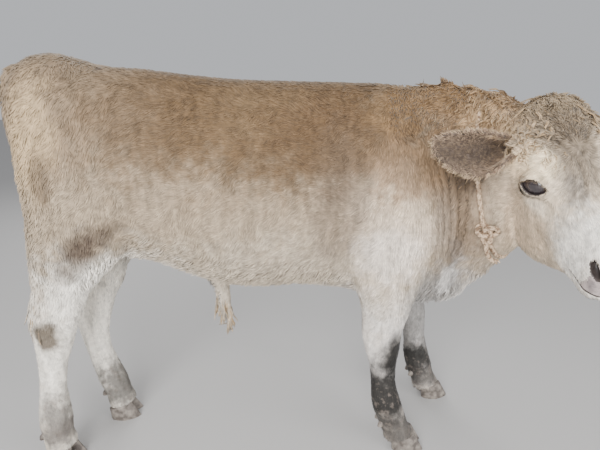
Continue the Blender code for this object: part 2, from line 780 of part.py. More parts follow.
def make_ear(name, side, carriers, calf, tools):
    """A long ear held out sideways, cupped and open to the front."""
    root = np.array([0.172, -0.045, 0.180 * side])
    tip = np.array([0.222, 0.066, 0.720 * side])
    stations = [
        (0.00, 0.44, 156.0),
        (0.13, 0.53, 148.0),
        (0.30, 0.80, 106.0),
        (0.52, 1.00, 68.0),
        (0.72, 0.90, 56.0),
        (0.88, 0.62, 48.0),
        (0.97, 0.34, 40.0),
        (1.00, 0.16, 36.0),
    ]
    axes = np.array(head_axes())
    along = (tip - root) @ axes
    along /= np.linalg.norm(along)
    wide = np.array([0.80, -0.60, 0.0]) @ axes
    wide -= along * (wide @ along)
    wide /= np.linalg.norm(wide)
    facing = np.cross(along, wide) * side
    rings = []
    for place, width, arc in through(stations, 10):
        sag = 0.045 * math.sin(math.pi * place)
        middle = from_head(root + (tip - root) * place + np.array([sag, -0.5 * sag, 0]))
        rings.append(cupped_ring(middle, wide, facing, width * EAR_WIDTH / 2,
                                 math.radians(arc), EAR_THICK * (1.15 - 0.5 * place), 8))
    ear = strip_caps(rings, name, calf)
    for flesh in carriers:
        combine(ear, as_tool(copy_of(flesh, "flesh_grown", tools, GAP)), "DIFFERENCE")
    keep_largest(ear)
    return ear


def foot_centre(name):
    """Where the middle of a foot's sole stands."""
    side, stride = STRIDES[name]
    if name.startswith("hind"):
        return np.array([-0.603 + 1.20 * stride, 0.093 * side, 0.0])
    return np.array([0.408 + stride, 0.118 * side, 0.0])


def coronet(name):
    """A point and an upward direction of the plane where horn meets hide."""
    point = foot_centre(name) + (0, 0, CORONET_Z)
    return point, np.array([-math.sin(CORONET_SLOPE), 0.0, math.cos(CORONET_SLOPE)])


def make_claw(name, foot, hand, calf, tools):
    """One half of a cloven hoof, flat below and sloping back to the coronet."""
    side, _ = STRIDES[foot]
    splay = math.radians(5.0) * side + math.radians(2.0) * hand
    rings = []
    for z in (0.0, 0.014, 0.040, 0.066):
        toe = CLAW_LENGTH / 2 + 0.006 - 0.55 * z
        heel = -CLAW_LENGTH / 2 + 0.006 - 0.10 * z
        half = CLAW_WIDTH / 2 * (1.0 - 1.6 * z)
        ring = []
        for turn in np.linspace(0, 2 * math.pi, 12, endpoint=False):
            fore = (toe + heel) / 2 + (toe - heel) / 2 * math.cos(turn)
            narrow = 1.0 - 0.28 * max(0.0, math.cos(turn)) ** 2
            across = half * math.sin(turn) * narrow
            across += hand * (half + CLEFT / 2) - hand * 0.004 * max(0.0, math.cos(turn))
            ring.append((fore, across, z))
        rings.append(ring)
    turned = []
    for ring in rings:
        turned.append([foot_centre(foot)
                       + (x * math.cos(splay) - y * math.sin(splay),
                          x * math.sin(splay) + y * math.cos(splay), z)
                       for x, y, z in ring])
    claw = loft(name, turned, calf)
    point, upward = coronet(foot)
    combine(claw, block_below(point, upward, 0.4, 0.4, tools), "INTERSECT")
    keep_largest(claw)
    return claw


def trim_leg(name, leg, tools):
    """The leg cut off level with the coronet, just above the horn."""
    point, upward = coronet(name)
    combine(leg, block_below(point + GAP * upward, upward, 0.16, 0.16, tools), "DIFFERENCE")
    keep_largest(leg)


def make_dewclaw(name, foot, hand, leg, calf, tools):
    """A small horny knob behind the fetlock."""
    side, stride = STRIDES[foot]
    stations = hind_leg_stations if foot.startswith("hind") else fore_leg_stations
    heights = [row for row in stations(side, stride) if row[2] < 0.20]
    low = np.array(sorted(heights, key=lambda row: row[2]))
    level = 0.096
    middle = np.interp(level, low[:, 2], low[:, 0])
    fore = np.interp(level, low[:, 2], low[:, 3])
    across = 0.5 * (low[0, 1] + low[-1, 1]) + 0.018 * hand
    knob = ball(name, (middle - fore + 0.007, across, level), (0.011, 0.009, 0.015), 4, calf)
    lean = np.array([v.co for v in knob.data.vertices])
    lean[:, 0] -= 0.45 * (level - lean[:, 2])
    for vertex, place in zip(knob.data.vertices, lean):
        vertex.co = place
    combine(knob, as_tool(copy_of(leg, "leg_grown", tools, GAP)), "DIFFERENCE")
    keep_largest(knob)
    return knob


def round_run(name, rows, sides, count, group):
    """A round tapering form along a path: x, y, z, radius fore and aft, and across."""
    path = through(rows, count)
    rings = []
    for k, (x, y, z, fore, side) in enumerate(path):
        ahead = path[min(k + 1, count - 1), :3] - path[max(k - 1, 0), :3]
        ahead /= np.linalg.norm(ahead)
        upward = np.cross(ahead, (0, 1, 0))
        rings.append(oval((x, y, z), (0, 1, 0), upward, side, fore, fore, 2.0, sides))
    return loft(name, rings, group)


def make_tail(calf):
    """The tail's fleshy part, down behind the rump."""
    return round_run("tail", [
        (-0.560, 0, 1.080, 0.030, 0.032),
        (-0.605, 0, 1.072, 0.028, 0.034),
        (-0.624, 0, 1.025, 0.024, 0.028),
        (-0.628, 0, 0.940, 0.019, 0.022),
        (-0.625, 0, 0.840, 0.016, 0.018),
        (-0.626, 0, 0.740, 0.014, 0.015),
        (-0.629, 0, 0.640, 0.013, 0.013),
    ], 8, 14, calf)


def make_switch(calf):
    """The brush of long hair at the tail's end."""
    return round_run("tail_switch", [
        (-0.629, 0, 0.640 - GAP, 0.013, 0.013),
        (-0.631, 0, 0.590, 0.020, 0.021),
        (-0.633, 0, 0.530, 0.024, 0.027),
        (-0.633, 0, 0.470, 0.019, 0.022),
        (-0.632, 0, 0.425, 0.007, 0.009),
    ], 8, 9, calf)


def make_sheath(torso, calf, tools):
    """The sheath under the belly, and the tuft that it ends in."""
    sheath = round_run("sheath", [
        (-0.158, 0, 0.580, 0.044, 0.028),
        (-0.143, 0, 0.535, 0.030, 0.021),
        (-0.128, 0, 0.490, 0.017, 0.014),
        (-0.119, 0, 0.440, 0.010, 0.009),
        (-0.112, 0, 0.368, 0.004, 0.004),
    ], 10, 10, calf)
    combine(sheath, as_tool(copy_of(torso, "torso_grown", tools, 1.6 * GAP)), "DIFFERENCE")
    keep_largest(sheath)
    return sheath


def make_scrotum(torso, calf, tools):
    """The purse between the thighs."""
    purse = round_run("scrotum", [
        (-0.500, 0, 0.710, 0.024, 0.022),
        (-0.503, 0, 0.645, 0.025, 0.024),
        (-0.506, 0, 0.605, 0.031, 0.028),
        (-0.508, 0, 0.570, 0.036, 0.036),
        (-0.508, 0, 0.545, 0.028, 0.029),
        (-0.508, 0, 0.532, 0.010, 0.010),
    ], 10, 10, calf)
    combine(purse, as_tool(copy_of(torso, "torso_grown", tools, 1.6 * GAP)), "DIFFERENCE")
    keep_largest(purse)
    return purse


def collar_loop(flesh):
    """Points of the rope's middle, laid on the neck just behind the jaw."""
    shape = bmesh.new()
    shape.from_mesh(flesh.data)
    tree = BVHTree.FromBMesh(shape)
    shape.free()
    middle = Vector((0.612, -0.086, 0.822))
    forward = Vector((0.61, -0.77, 0.19)).normalized()
    right = forward.cross(Vector((0, 0, 1))).normalized()
    upward = right.cross(forward)
    count = 38
    reach = []
    for k in range(count):
        turn = 2 * math.pi * k / count
        beam = math.cos(turn) * upward + math.sin(turn) * right
        hit = tree.ray_cast(middle, beam)
        reach.append(hit[3])
    reach = np.array(reach)
    for _ in range(3):
        eased = (np.roll(reach, 1) + reach + np.roll(reach, -1)) / 3
        reach = np.maximum(eased, reach)
    points = []
    for k in range(count):
        turn = 2 * math.pi * k / count
        beam = math.cos(turn) * upward + math.sin(turn) * right
        points.append(middle + beam * (float(reach[k]) + 0.5 * ROPE_RADIUS))
    return points


def rope_run(name, points, radius, closed, group):
    """A round rope along points."""
    curve = bpy.data.curves.new(name, "CURVE")
    curve.dimensions = "3D"
    curve.bevel_depth = radius
    curve.bevel_resolution = 1 if closed else 2
    curve.use_fill_caps = True
    line = curve.splines.new("POLY")
    line.points.add(len(points) - 1)
    for spot, place in zip(line.points, points):
        spot.co = (*place, 1.0)
    line.use_cyclic_u = closed
    thing = bpy.data.objects.new(name, curve)
    group.objects.link(thing)
    return thing


def solid_from(curve_object, name, group):
    """A curve object's tube as a closed mesh."""
    graph = bpy.context.evaluated_depsgraph_get()
    mesh = bpy.data.meshes.new_from_object(curve_object.evaluated_get(graph))
    shape = bmesh.new()
    shape.from_mesh(mesh)
    bmesh.ops.remove_doubles(shape, verts=shape.verts, dist=1e-5)
    bmesh.ops.recalc_face_normals(shape, faces=shape.faces)
    shape.to_mesh(mesh)
    shape.free()
    thing = bpy.data.objects.new(name, mesh)
    thing.matrix_world = curve_object.matrix_world
    bpy.data.objects.remove(curve_object)
    thing.name = name
    group.objects.link(thing)
    return thing


def knot_points(middle, right):
    """A threefold knot of rope, flat against the neck."""
    count = 33
    outward = Vector(right)
    upward = Vector((0, 0, 1))
    upward = (upward - outward * upward.dot(outward)).normalized()
    across = upward.cross(outward)
    points = []
    for k in range(count):
        turn = 2 * math.pi * k / count
        x = math.sin(turn) + 2 * math.sin(2 * turn)
        y = math.cos(turn) - 2 * math.cos(2 * turn)
        z = -math.sin(3 * turn)
        points.append(middle + KNOT_SIZE * (x * across + y * upward + z * outward))
    return points


def make_collar(flesh, nodes, calf, tools):
    """A rope round the neck, knotted at the right of the throat, with a short end."""
    loop = collar_loop(flesh)
    grown = solid_from(rope_run("rope_grown", loop, ROPE_RADIUS + GAP, True, tools),
                       "rope_grown", tools)
    for name in ("neck", "head"):
        combine(nodes[name], as_tool(grown), "DIFFERENCE")
        keep_largest(nodes[name])
    rope = solid_from(rope_run("rope", loop, ROPE_RADIUS, True, calf), "collar_rope", calf)
    places = [near.lerp(far, part / 8) for near, far in zip(loop, loop[1:] + loop[:1])
              for part in range(8)]
    place = min(places, key=lambda spot: (spot - KNOT_AT).length)
    hub = sum(loop, Vector()) / len(loop)
    outward = place - hub
    outward = (outward - Vector((0, 0, outward.z))).normalized()
    seat = place + outward * (2 * ROPE_RADIUS + KNOT_SIZE + 0.001) + KNOT_ASIDE
    knot = solid_from(rope_run("knot", knot_points(seat, outward), ROPE_RADIUS, True, calf),
                      "collar_knot", calf)
    for thing in (rope, nodes["neck"]):
        combine(knot, as_tool(copy_of(thing, "thing_grown", tools, GAP)), "DIFFERENCE")
        keep_largest(knot)
    return grown


def flat(direction, normal):
    """A direction laid into the surface whose normal is given."""
    laid = Vector(direction) - Vector(normal) * Vector(direction).dot(normal)
    return laid.normalized()


def lock(root, normal, along, size, rise, curl, group):
    """A flat tapering lock that starts inside the flesh and bends over as it leaves it."""
    length, width = size
    across = normal.cross(along).normalized()
    rings = []
    for part in (0.0, 0.36, 0.70, 1.0):
        height = -LOCK_SINK * (1 - part) + rise * length * part
        middle = (root + along * length * part + normal * height
                  + across * curl * length * part**2)
        half = width / 2 * (0.75 + 0.5 * part) * (1.0 - 0.93 * part**2.2)
        rings.append(oval(middle, across, normal, half, 0.40 * half, 0.40 * half, 2.0, 5))
    return loft("lock", rings, group)


def surface_tree(thing):
    """A search tree of an object's surface."""
    shape = bmesh.new()
    shape.from_mesh(thing.data)
    tree = BVHTree.FromBMesh(shape)
    shape.free()
    return tree


def crest_locks(tree, group):
    """Shaggy locks along the top of the neck, falling to both sides."""
    number, length, width = CREST_LOCKS
    path = through([(0.425, -0.002), (0.490, -0.014), (0.560, -0.038), (0.620, -0.080),
                    (0.652, -0.120)], number)
    locks = []
    for k, (x, y) in enumerate(path):
        ahead = path[min(k + 1, number - 1)] - path[max(k - 1, 0)]
        ahead = Vector((*ahead, 0)).normalized()
        left = Vector((-ahead.y, ahead.x, 0))
        side = -1 if k % 3 else 1
        spread = CHANCE.uniform(-0.004, 0.060)
        start = Vector((x, y, 1.3)) + left * side * spread
        root, normal, _, _ = tree.ray_cast(start, Vector((0, 0, -1)))
        along = flat(left * side * CHANCE.uniform(0.5, 1.0)
                     - ahead * CHANCE.uniform(0.3, 0.9), normal)
        size = (length * CHANCE.uniform(0.8, 1.2), width * CHANCE.uniform(0.85, 1.15))
        locks.append(lock(root, normal, along, size, CHANCE.uniform(0.10, 0.26),
                          CHANCE.uniform(-0.35, 0.35), group))
    return locks


def poll_locks(tree, group):
    """The tuft between the ears, which leans over the forehead."""
    number, length, width = POLL_LOCKS
    ahead, up, right = (Vector(axis) for axis in head_axes())
    locks = []
    for k in range(number):
        place = (CHANCE.uniform(0.00, 0.11), 0.5, -0.15 + 0.21 * k / (number - 1))
        root, normal, _, _ = tree.ray_cast(Vector(from_head(place)), -up)
        along = flat(ahead * CHANCE.uniform(0.5, 1.0) - right * CHANCE.uniform(-0.2, 0.7),
                     normal)
        size = (length * CHANCE.uniform(0.8, 1.2), width * CHANCE.uniform(0.85, 1.15))
        locks.append(lock(root, normal, along, size, CHANCE.uniform(0.16, 0.34),
                          CHANCE.uniform(-0.3, 0.3), group))
    return locks


def hanging_locks(sizes, rows, group):
    """Long locks that hang round a tapering core: rows of x, y, z and the core's radius."""
    number, length, width = sizes
    path = through(rows, number)
    locks = []
    for k, (x, y, z, radius) in enumerate(path):
        turn = 2.4 * k + CHANCE.uniform(-0.3, 0.3)
        normal = Vector((math.cos(turn), math.sin(turn), 0))
        root = Vector((x, y, z)) + normal * radius
        along = Vector((0, 0, -1))
        size = (length * CHANCE.uniform(0.85, 1.1), width)
        locks.append(lock(root, normal, along, size, CHANCE.uniform(0.02, 0.08),
                          CHANCE.uniform(-0.12, 0.12), group))
    return locks


def grow_locks(thing, locks, others, tools):
    """Locks cut clear of the neighbours and fused into the piece that they grow from."""
    batch = make_collection("locks", True)
    for piece in locks:
        for other in others:
            combine(piece, other, "DIFFERENCE")
        keep_largest(piece)
        tools.objects.unlink(piece)
        batch.objects.link(piece)
    step = thing.modifiers.new("locks", "BOOLEAN")
    step.operand_type = "COLLECTION"
    step.collection = batch
    step.operation = "UNION"
    step.solver = "EXACT"
    settle(thing)
    for piece in list(batch.objects):
        bpy.data.objects.remove(piece)
    bpy.data.collections.remove(batch)
    keep_largest(thing)


def clothe(nodes, whole, switch, sheath, rope_grown, calf, tools):
    """Long hair on the crest, the poll, the tail's end and the sheath."""
    tree = surface_tree(whole)
    grown = {}
    for name in ("head", "neck", "torso"):
        grown[name] = as_tool(copy_of(nodes[name], name + "_grown", tools, GAP))
    for thing in calf.objects:
        if thing.name.startswith("ear_"):
            grown[thing.name] = as_tool(copy_of(thing, thing.name + "_grown", tools, GAP))
    ears = [grown["ear_right"], grown["ear_left"]]
    grow_locks(nodes["neck"], crest_locks(tree, tools),
               [grown["head"], grown["torso"], rope_grown, *ears], tools)
    grow_locks(nodes["head"], poll_locks(tree, tools),
               [grown["neck"], rope_grown, *ears], tools)
    tail = as_tool(copy_of(calf.objects["tail"], "tail_grown_again", tools, GAP))
    grow_locks(switch, hanging_locks(SWITCH_LOCKS, [
        (-0.630, 0, 0.615, 0.016), (-0.631, 0, 0.580, 0.020), (-0.633, 0, 0.530, 0.024),
    ], tools), [tail], tools)
    grow_locks(sheath, hanging_locks(SHEATH_LOCKS, [
        (-0.140, 0, 0.525, 0.024), (-0.128, 0, 0.485, 0.016), (-0.120, 0, 0.445, 0.010),
    ], tools), [grown["torso"]], tools)


def free_end(calf):
    """The rope's free end, hanging from the knot."""
    route = [Vector(place) for place in through(ROPE_END, 6)]
    return rope_run("collar_tail", route, ROPE_RADIUS, False, calf)


def dress(group):
    """Each piece given the finish of its kind."""
    made = {name: finish(*looks) for name, looks in FINISHES.items()}
    for thing in group.objects:
        kind = max((name for name in FINISHES if thing.name.startswith(name)), key=len)
        thing.data.materials.clear()
        thing.data.materials.append(made[kind])


def move_to_origin(group):
    """Every piece moved so that the origin is under the middle of the model."""
    for thing in group.objects:
        thing.data.transform(Matrix.Translation(TO_ORIGIN))


def build():
    """The calf, from clay to finished pieces."""
    clear_scene()
    calf = make_collection("bull_calf", False)
    tools = make_collection("tools", True)
    clay = [trunk_clay(tools), neck_clay(tools), head_clay(tools), *head_lumps(tools)]
    for name, (side, stride) in STRIDES.items():
        stations = hind_leg_stations if name.startswith("hind") else fore_leg_stations
        clay.append(leg_clay(name, stations(side, stride), tools))
    flesh = join_clay(clay, "flesh", calf)
    sculpt(flesh)
    thin_out(flesh)
    whole = as_tool(copy_of(flesh, "whole", tools))
    ear_bases(flesh, tools)
    nodes = part_flesh(flesh, calf, tools)
    tail = make_tail(calf)
    tail_grown = as_tool(copy_of(tail, "tail_grown", tools, 1.6 * GAP))
    for name in ("torso", "hind_leg_right", "hind_leg_left"):
        combine(nodes[name], tail_grown, "DIFFERENCE")
        keep_largest(nodes[name])
    switch = make_switch(calf)
    sheath = make_sheath(nodes["torso"], calf, tools)
    make_scrotum(nodes["torso"], calf, tools)
    for name, leg in list(nodes.items()):
        if "leg" not in name:
            continue
        trim_leg(name, leg, tools)
        for word, hand in (("inner", -1), ("outer", 1)):
            lay = hand * STRIDES[name][0]
            short = name.replace("_leg", "")
            make_claw(f"claw_{short}_{word}", name, lay, calf, tools)
            make_dewclaw(f"dewclaw_{short}_{word}", name, lay, leg, calf, tools)
    carriers = (nodes["head"], nodes["neck"])
    make_ear("ear_right", 1, carriers, calf, tools)
    make_ear("ear_left", -1, carriers, calf, tools)
    rope_grown = make_collar(whole, nodes, calf, tools)
    eyes_and_lids(nodes["head"], calf, tools)
    nostrils(nodes["head"], tools)
    mouth_line(nodes["head"], tools)
    keep_largest(nodes["head"])
    clothe(nodes, whole, switch, sheath, rope_grown, calf, tools)
    free_end(calf)
    dress(calf)
    move_to_origin(calf)


build()
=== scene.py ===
"""Looks of a young polled bull calf, a life-size still model with a rope collar."""

import math

import bmesh
import bpy
import numpy as np
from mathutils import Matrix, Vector
from mathutils.bvhtree import BVHTree


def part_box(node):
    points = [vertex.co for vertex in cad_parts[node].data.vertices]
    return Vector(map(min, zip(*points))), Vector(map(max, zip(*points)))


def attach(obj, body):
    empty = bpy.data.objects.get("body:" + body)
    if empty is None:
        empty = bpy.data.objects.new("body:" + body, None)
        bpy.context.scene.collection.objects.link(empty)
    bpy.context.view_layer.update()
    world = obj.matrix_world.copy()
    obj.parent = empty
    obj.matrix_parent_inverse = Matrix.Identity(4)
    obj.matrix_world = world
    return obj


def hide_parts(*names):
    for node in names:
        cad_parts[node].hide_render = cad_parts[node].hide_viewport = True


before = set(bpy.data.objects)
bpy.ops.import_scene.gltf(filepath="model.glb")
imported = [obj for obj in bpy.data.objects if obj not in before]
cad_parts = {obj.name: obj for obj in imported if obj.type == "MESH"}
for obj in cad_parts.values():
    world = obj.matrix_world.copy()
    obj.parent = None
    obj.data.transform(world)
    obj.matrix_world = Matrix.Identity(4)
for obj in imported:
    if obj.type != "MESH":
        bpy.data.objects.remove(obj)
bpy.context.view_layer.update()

bpy.ops.object.select_all(action="DESELECT")


# The camera stands at the calf's right, a little above its back, and looks down
# and slightly towards the head, so that the frame cuts off the muzzle's tip.
CAMERA_AT = (-0.168, -1.100, 1.050)
LOOK_DOWN = math.radians(17.0)
LOOK_RIGHT = math.radians(4.5)
lens = bpy.data.cameras.new("camera")
lens.lens = 27.18
lens.sensor_width = 36.0
camera = bpy.data.objects.new("camera", lens)
camera.location = CAMERA_AT
camera.rotation_euler = (math.pi / 2 - LOOK_DOWN, 0.0, -LOOK_RIGHT)
bpy.context.scene.collection.objects.link(camera)
bpy.context.scene.camera = camera


# The rope's free end: three twisted strands of pale fibre that hang from the knot
# and fray at the cut. Its way is the one that the solid follows.
ROPE_END = [
    (0.3894, -0.0535, 0.6654),
    (0.3914, -0.0530, 0.6529),
    (0.3964, -0.0515, 0.6409),
    (0.4034, -0.0485, 0.6294),
    (0.4134, -0.0445, 0.6194),
    (0.4254, -0.0405, 0.6134),
    (0.4364, -0.0375, 0.6104),
]
ROPE_WIDE = 0.012
STRAND = 0.0034
STRAND_OUT = 0.0027
LAY_LENGTH = 0.034
FRAY_LENGTH = 0.022


def node_kit(tree):
    """Short ways to add a node to a tree, to link two, and to add one already fed."""
    def add(kind, **values):
        made = tree.nodes.new("ShaderNode" + kind)
        for name, value in values.items():
            if name in made.inputs:
                made.inputs[name].default_value = value
            else:
                setattr(made, name, value)
        return made

    def link(start, end):
        tree.links.new(start, end)

    def fed(kind, *inputs, **values):
        node = add(kind, **values)
        for slot, given in zip(node.inputs, inputs):
            if isinstance(given, bpy.types.NodeSocket):
                link(given, slot)
            else:
                slot.default_value = given
        return node.outputs
    return add, link, fed


def mottled(name, dark, light, scale, detail, span, rough):
    """A material that varies softly between two colours, its shader, place and colour."""
    material = bpy.data.materials.new(name)
    material.use_nodes = True
    tree = material.node_tree
    add, link, fed = node_kit(tree)
    shader = tree.nodes["Principled BSDF"]
    place = add("TexCoord").outputs["Object"]
    vary = fed("TexNoise", place, Scale=scale, Detail=detail)["Fac"]
    ramp = add("ValToRGB")
    for stop, position, color in zip(ramp.color_ramp.elements, span, (dark, light)):
        stop.position = position
        stop.color = (*color, 1)
    link(vary, ramp.inputs["Fac"])
    link(ramp.outputs["Color"], shader.inputs["Base Color"])
    shader.inputs["Roughness"].default_value = rough
    return material, shader, place, ramp.outputs["Color"]


def roughened(material, height, strength, distance):
    """A material's surface raised and sunk by a height."""
    add, link, _ = node_kit(material.node_tree)
    bump = add("Bump", Strength=strength, Distance=distance)
    link(height, bump.inputs["Height"])
    link(bump.outputs["Normal"], material.node_tree.nodes["Principled BSDF"].inputs["Normal"])


def smooth_path(rows, count):
    """A smooth curve through places, read at evenly spaced steps."""
    rows = np.array(rows, float)
    ends = np.vstack([2 * rows[0] - rows[1], rows, 2 * rows[-1] - rows[-2]])
    place = np.linspace(0, len(rows) - 1 - 1e-9, count)
    first = place.astype(int)
    part = (place - first)[:, None]
    a, b, c, d = (ends[first + k] for k in range(4))
    return 0.5 * (2 * b + (c - a) * part + (2 * a - 5 * b + 4 * c - d) * part**2
                  + (3 * b - a - 3 * c + d) * part**3)


def frames_along(path):
    """Ahead, side and up at each point of a path, turning as little as can be."""
    ahead = np.gradient(path, axis=0)
    ahead /= np.linalg.norm(ahead, axis=1)[:, None]
    side = np.cross(ahead[0], (0.31, 0.17, 0.94))
    sides = []
    for way in ahead:
        side = side - way * (side @ way)
        side /= np.linalg.norm(side)
        sides.append(side.copy())
    sides = np.array(sides)
    return ahead, sides, np.cross(ahead, sides)


def tube(points, radii, ring):
    """Points and faces of a round tube with closed ends along a path."""
    _, side, up = frames_along(points)
    turn = np.linspace(0, 2 * math.pi, ring, endpoint=False)
    circle = (np.cos(turn)[None, :, None] * side[:, None, :]
              + np.sin(turn)[None, :, None] * up[:, None, :])
    verts = (points[:, None, :] + circle * np.asarray(radii)[:, None, None]).reshape(-1, 3)
    faces = []
    for row in range(len(points) - 1):
        for k in range(ring):
            after = (k + 1) % ring
            low = row * ring
            faces.append((low + k, low + after, low + ring + after, low + ring + k))
    faces.append(tuple(range(ring))[::-1])
    faces.append(tuple(range((len(points) - 1) * ring, len(points) * ring)))
    return verts, faces


def mesh_piece(name, parts):
    """One object from several sets of points and faces."""
    verts, faces, start = [], [], 0
    for points, sides in parts:
        verts.append(points)
        faces += [tuple(int(v) + start for v in side) for side in sides]
        start += len(points)
    mesh = bpy.data.meshes.new(name)
    mesh.from_pydata(np.vstack(verts).tolist(), [], faces)
    mesh.polygons.foreach_set("use_smooth", [True] * len(mesh.polygons))
    piece = bpy.data.objects.new(name, mesh)
    bpy.context.scene.collection.objects.link(piece)
    return piece


def twisted(path, fray=0.0):
    """Three strands laid round each other along a path, spread at the end by fray."""
    _, side, up = frames_along(path)
    steps = np.linalg.norm(np.diff(path, axis=0), axis=1)
    run = np.concatenate([[0], np.cumsum(steps)])
    loose = np.clip((run - run[-1] + FRAY_LENGTH) / FRAY_LENGTH, 0, 1) if fray else 0 * run
    parts = []
    for k in range(3):
        turn = 2 * math.pi * (run / LAY_LENGTH + k / 3)
        out = STRAND_OUT * (1 + fray * loose**2)
        middle = (path + side * (np.cos(turn) * out)[:, None]
                  + up * (np.sin(turn) * out)[:, None])
        lumps = 1 + 0.07 * np.sin(run * 900 + 2 * k)
        parts.append(tube(middle, STRAND * lumps * (1 - 0.55 * loose**3), 8))
    return parts


def rope_fibre():
    """Pale twisted fibre, a little dirty, with a fine roughened grain."""
    material, _, place, _ = mottled("rope_fibre", (0.200, 0.125, 0.075), (0.64, 0.48, 0.33),
                                    110.0, 4.0, (0.36, 0.58), 0.92)
    _, _, fed = node_kit(material.node_tree)
    grain = fed("TexNoise", place, Scale=420.0, Detail=3.0)["Fac"]
    roughened(material, grain, 0.6, 0.0012)
    return material


FIBRE = rope_fibre()
end_path = smooth_path(ROPE_END, 60)
rope_end = mesh_piece("rope_end", twisted(end_path, fray=1.3))
rope_end.data.materials.append(FIBRE)
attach(rope_end, "root")
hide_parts("collar_tail")


# The collar: the same rope once round the neck behind the jaw. Its middle line is
# read back from the solid ring, turn by turn.
def ring_middle(node, count):
    """The middle line of a closed tube, found by sorting its points round the ring."""
    spots = np.array([v.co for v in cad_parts[node].data.vertices])
    spots = np.unique(np.round(spots, 6), axis=0)
    hub = spots.mean(axis=0)
    _, _, axes = np.linalg.svd(spots - hub)
    flat = (spots - hub) @ axes.T
    angle = np.arctan2(flat[:, 1], flat[:, 0])
    order = np.argsort(angle)
    spots, angle = spots[order], angle[order]
    targets = np.linspace(-math.pi, math.pi, count, endpoint=False)
    middle = []
    for target in targets:
        off = np.abs((angle - target + math.pi) % (2 * math.pi) - math.pi)
        weight = np.exp(-(off / 0.11) ** 2)
        middle.append((spots * weight[:, None]).sum(axis=0) / weight.sum())
    return np.array(middle)


loop = ring_middle("collar_rope", 38)
loop = smooth_path(np.vstack([loop, loop[:1]]), 420)
collar = mesh_piece("collar", twisted(loop))
collar.data.materials.append(FIBRE)
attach(collar, "root")
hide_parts("collar_rope")


# The knot: the rope worked three times through itself, pulled tight at the right
# of the throat.
KNOT_OUTWARD = np.array([-0.60, -0.80, 0.0])
knot_low, knot_high = (np.array(corner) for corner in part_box("collar_knot"))
knot_middle = (knot_low + knot_high) / 2
knot_size = (knot_high[2] - knot_low[2] - ROPE_WIDE) / 5.05


def knot_way(count):
    """The threefold knot's own path, flat against the neck."""
    turn = np.linspace(0, 2 * math.pi, count)
    upward = np.array([0.0, 0.0, 1.0])
    across = np.cross(upward, KNOT_OUTWARD)
    x = np.sin(turn) + 2 * np.sin(2 * turn)
    y = np.cos(turn) - 2 * np.cos(2 * turn)
    z = -np.sin(3 * turn)
    return (knot_middle + knot_size * (np.outer(x, across) + np.outer(y, upward)
                                       + np.outer(z, KNOT_OUTWARD)))


knot = mesh_piece("knot", twisted(knot_way(260)))
knot.data.materials.append(FIBRE)
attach(knot, "root")
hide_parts("collar_knot")


# The skin: every piece of flesh as one surface, from the solids grown a little so that
# the cuts between them close, remeshed and eased. It carries the coat, and shows bare
# at the nose, in the nostrils and ears and round the eyes.
FLESH = ["head", "neck", "torso", "fore_leg_right", "fore_leg_left", "hind_leg_right",
         "hind_leg_left", "ear_right", "ear_left", "tail", "tail_switch", "sheath", "scrotum"]
GROW = 0.0005
EAR_GROW = 0.0014
GRAIN = 0.0032
POLL = np.array([0.508, -0.041, 1.001])
HEAD_LENGTH = 0.450
HEAD_AHEAD = np.array([0.0777, -0.7391, -0.6691])
HEAD_UP = np.array([-0.0518, -0.6732, 0.7377])
HEAD_RIGHT = np.array([-0.9956, -0.0227, -0.0906])
HEAD_AXES = np.array([HEAD_AHEAD, HEAD_UP, HEAD_RIGHT])


def to_head(spots):
    """Points in head lengths from the poll: ahead, up, right."""
    return (np.asarray(spots) - POLL) @ HEAD_AXES.T / HEAD_LENGTH


def merged_copy(node, grow):
    """A copy of a solid's mesh, its doubles merged and its skin grown a little."""
    shape = bmesh.new()
    shape.from_mesh(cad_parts[node].data)
    bmesh.ops.remove_doubles(shape, verts=shape.verts, dist=1e-5)
    shape.normal_update()
    for vert in shape.verts:
        vert.co += grow * vert.normal * min(vert.calc_shell_factor(), 2.0)
    mesh = bpy.data.meshes.new(node + "_flesh")
    shape.to_mesh(mesh)
    shape.free()
    piece = bpy.data.objects.new(node + "_flesh", mesh)
    bpy.context.scene.collection.objects.link(piece)
    return piece


def joined(pieces, name):
    """Several meshes made one object."""
    bpy.ops.object.select_all(action="DESELECT")
    for piece in pieces:
        piece.select_set(True)
    bpy.context.view_layer.objects.active = pieces[0]
    bpy.ops.object.join()
    pieces[0].name = name
    return pieces[0]


def apply_all(piece):
    """The piece's modifiers applied, in their order."""
    bpy.ops.object.select_all(action="DESELECT")
    piece.select_set(True)
    bpy.context.view_layer.objects.active = piece
    for step in list(piece.modifiers):
        bpy.ops.object.modifier_apply(modifier=step.name)


def vectors_of(items, field="co"):
    """A row of three numbers for each item of a mesh: its place, or another field."""
    flat = np.empty(len(items) * 3)
    items.foreach_get(field, flat)
    return flat.reshape(-1, 3)


def weight_by(piece, name, weights, steps):
    """A vertex group with its weights rounded to tenths, each tenth one of the steps."""
    group = piece.vertex_groups.new(name=name)
    for level in range(1, 11):
        chosen = np.nonzero(np.round(weights * 10) == level)[0]
        if len(chosen):
            group.add(chosen.tolist(), level / steps, "REPLACE")


def smooth_step(value, start, end):
    """0 up to start, 1 from end on, and soft between them."""
    part = np.clip((value - start) / (end - start), 0, 1)
    return part * part * (3 - 2 * part)


def head_part(spots):
    """How much a point belongs to the head, from 0 on the neck to 1 on the face."""
    ahead, above, side = to_head(spots).T
    side = np.abs(side)
    on_face = smooth_step(side, 0.33, 0.26) * (ahead < 1.2)
    by_ear = (side < 0.78) & (above > -0.15) & (ahead < 0.42)
    near = np.maximum(on_face, by_ear) * (above > -0.85) * (above < 0.35)
    return smooth_step(ahead, 0.02, 0.16) * near


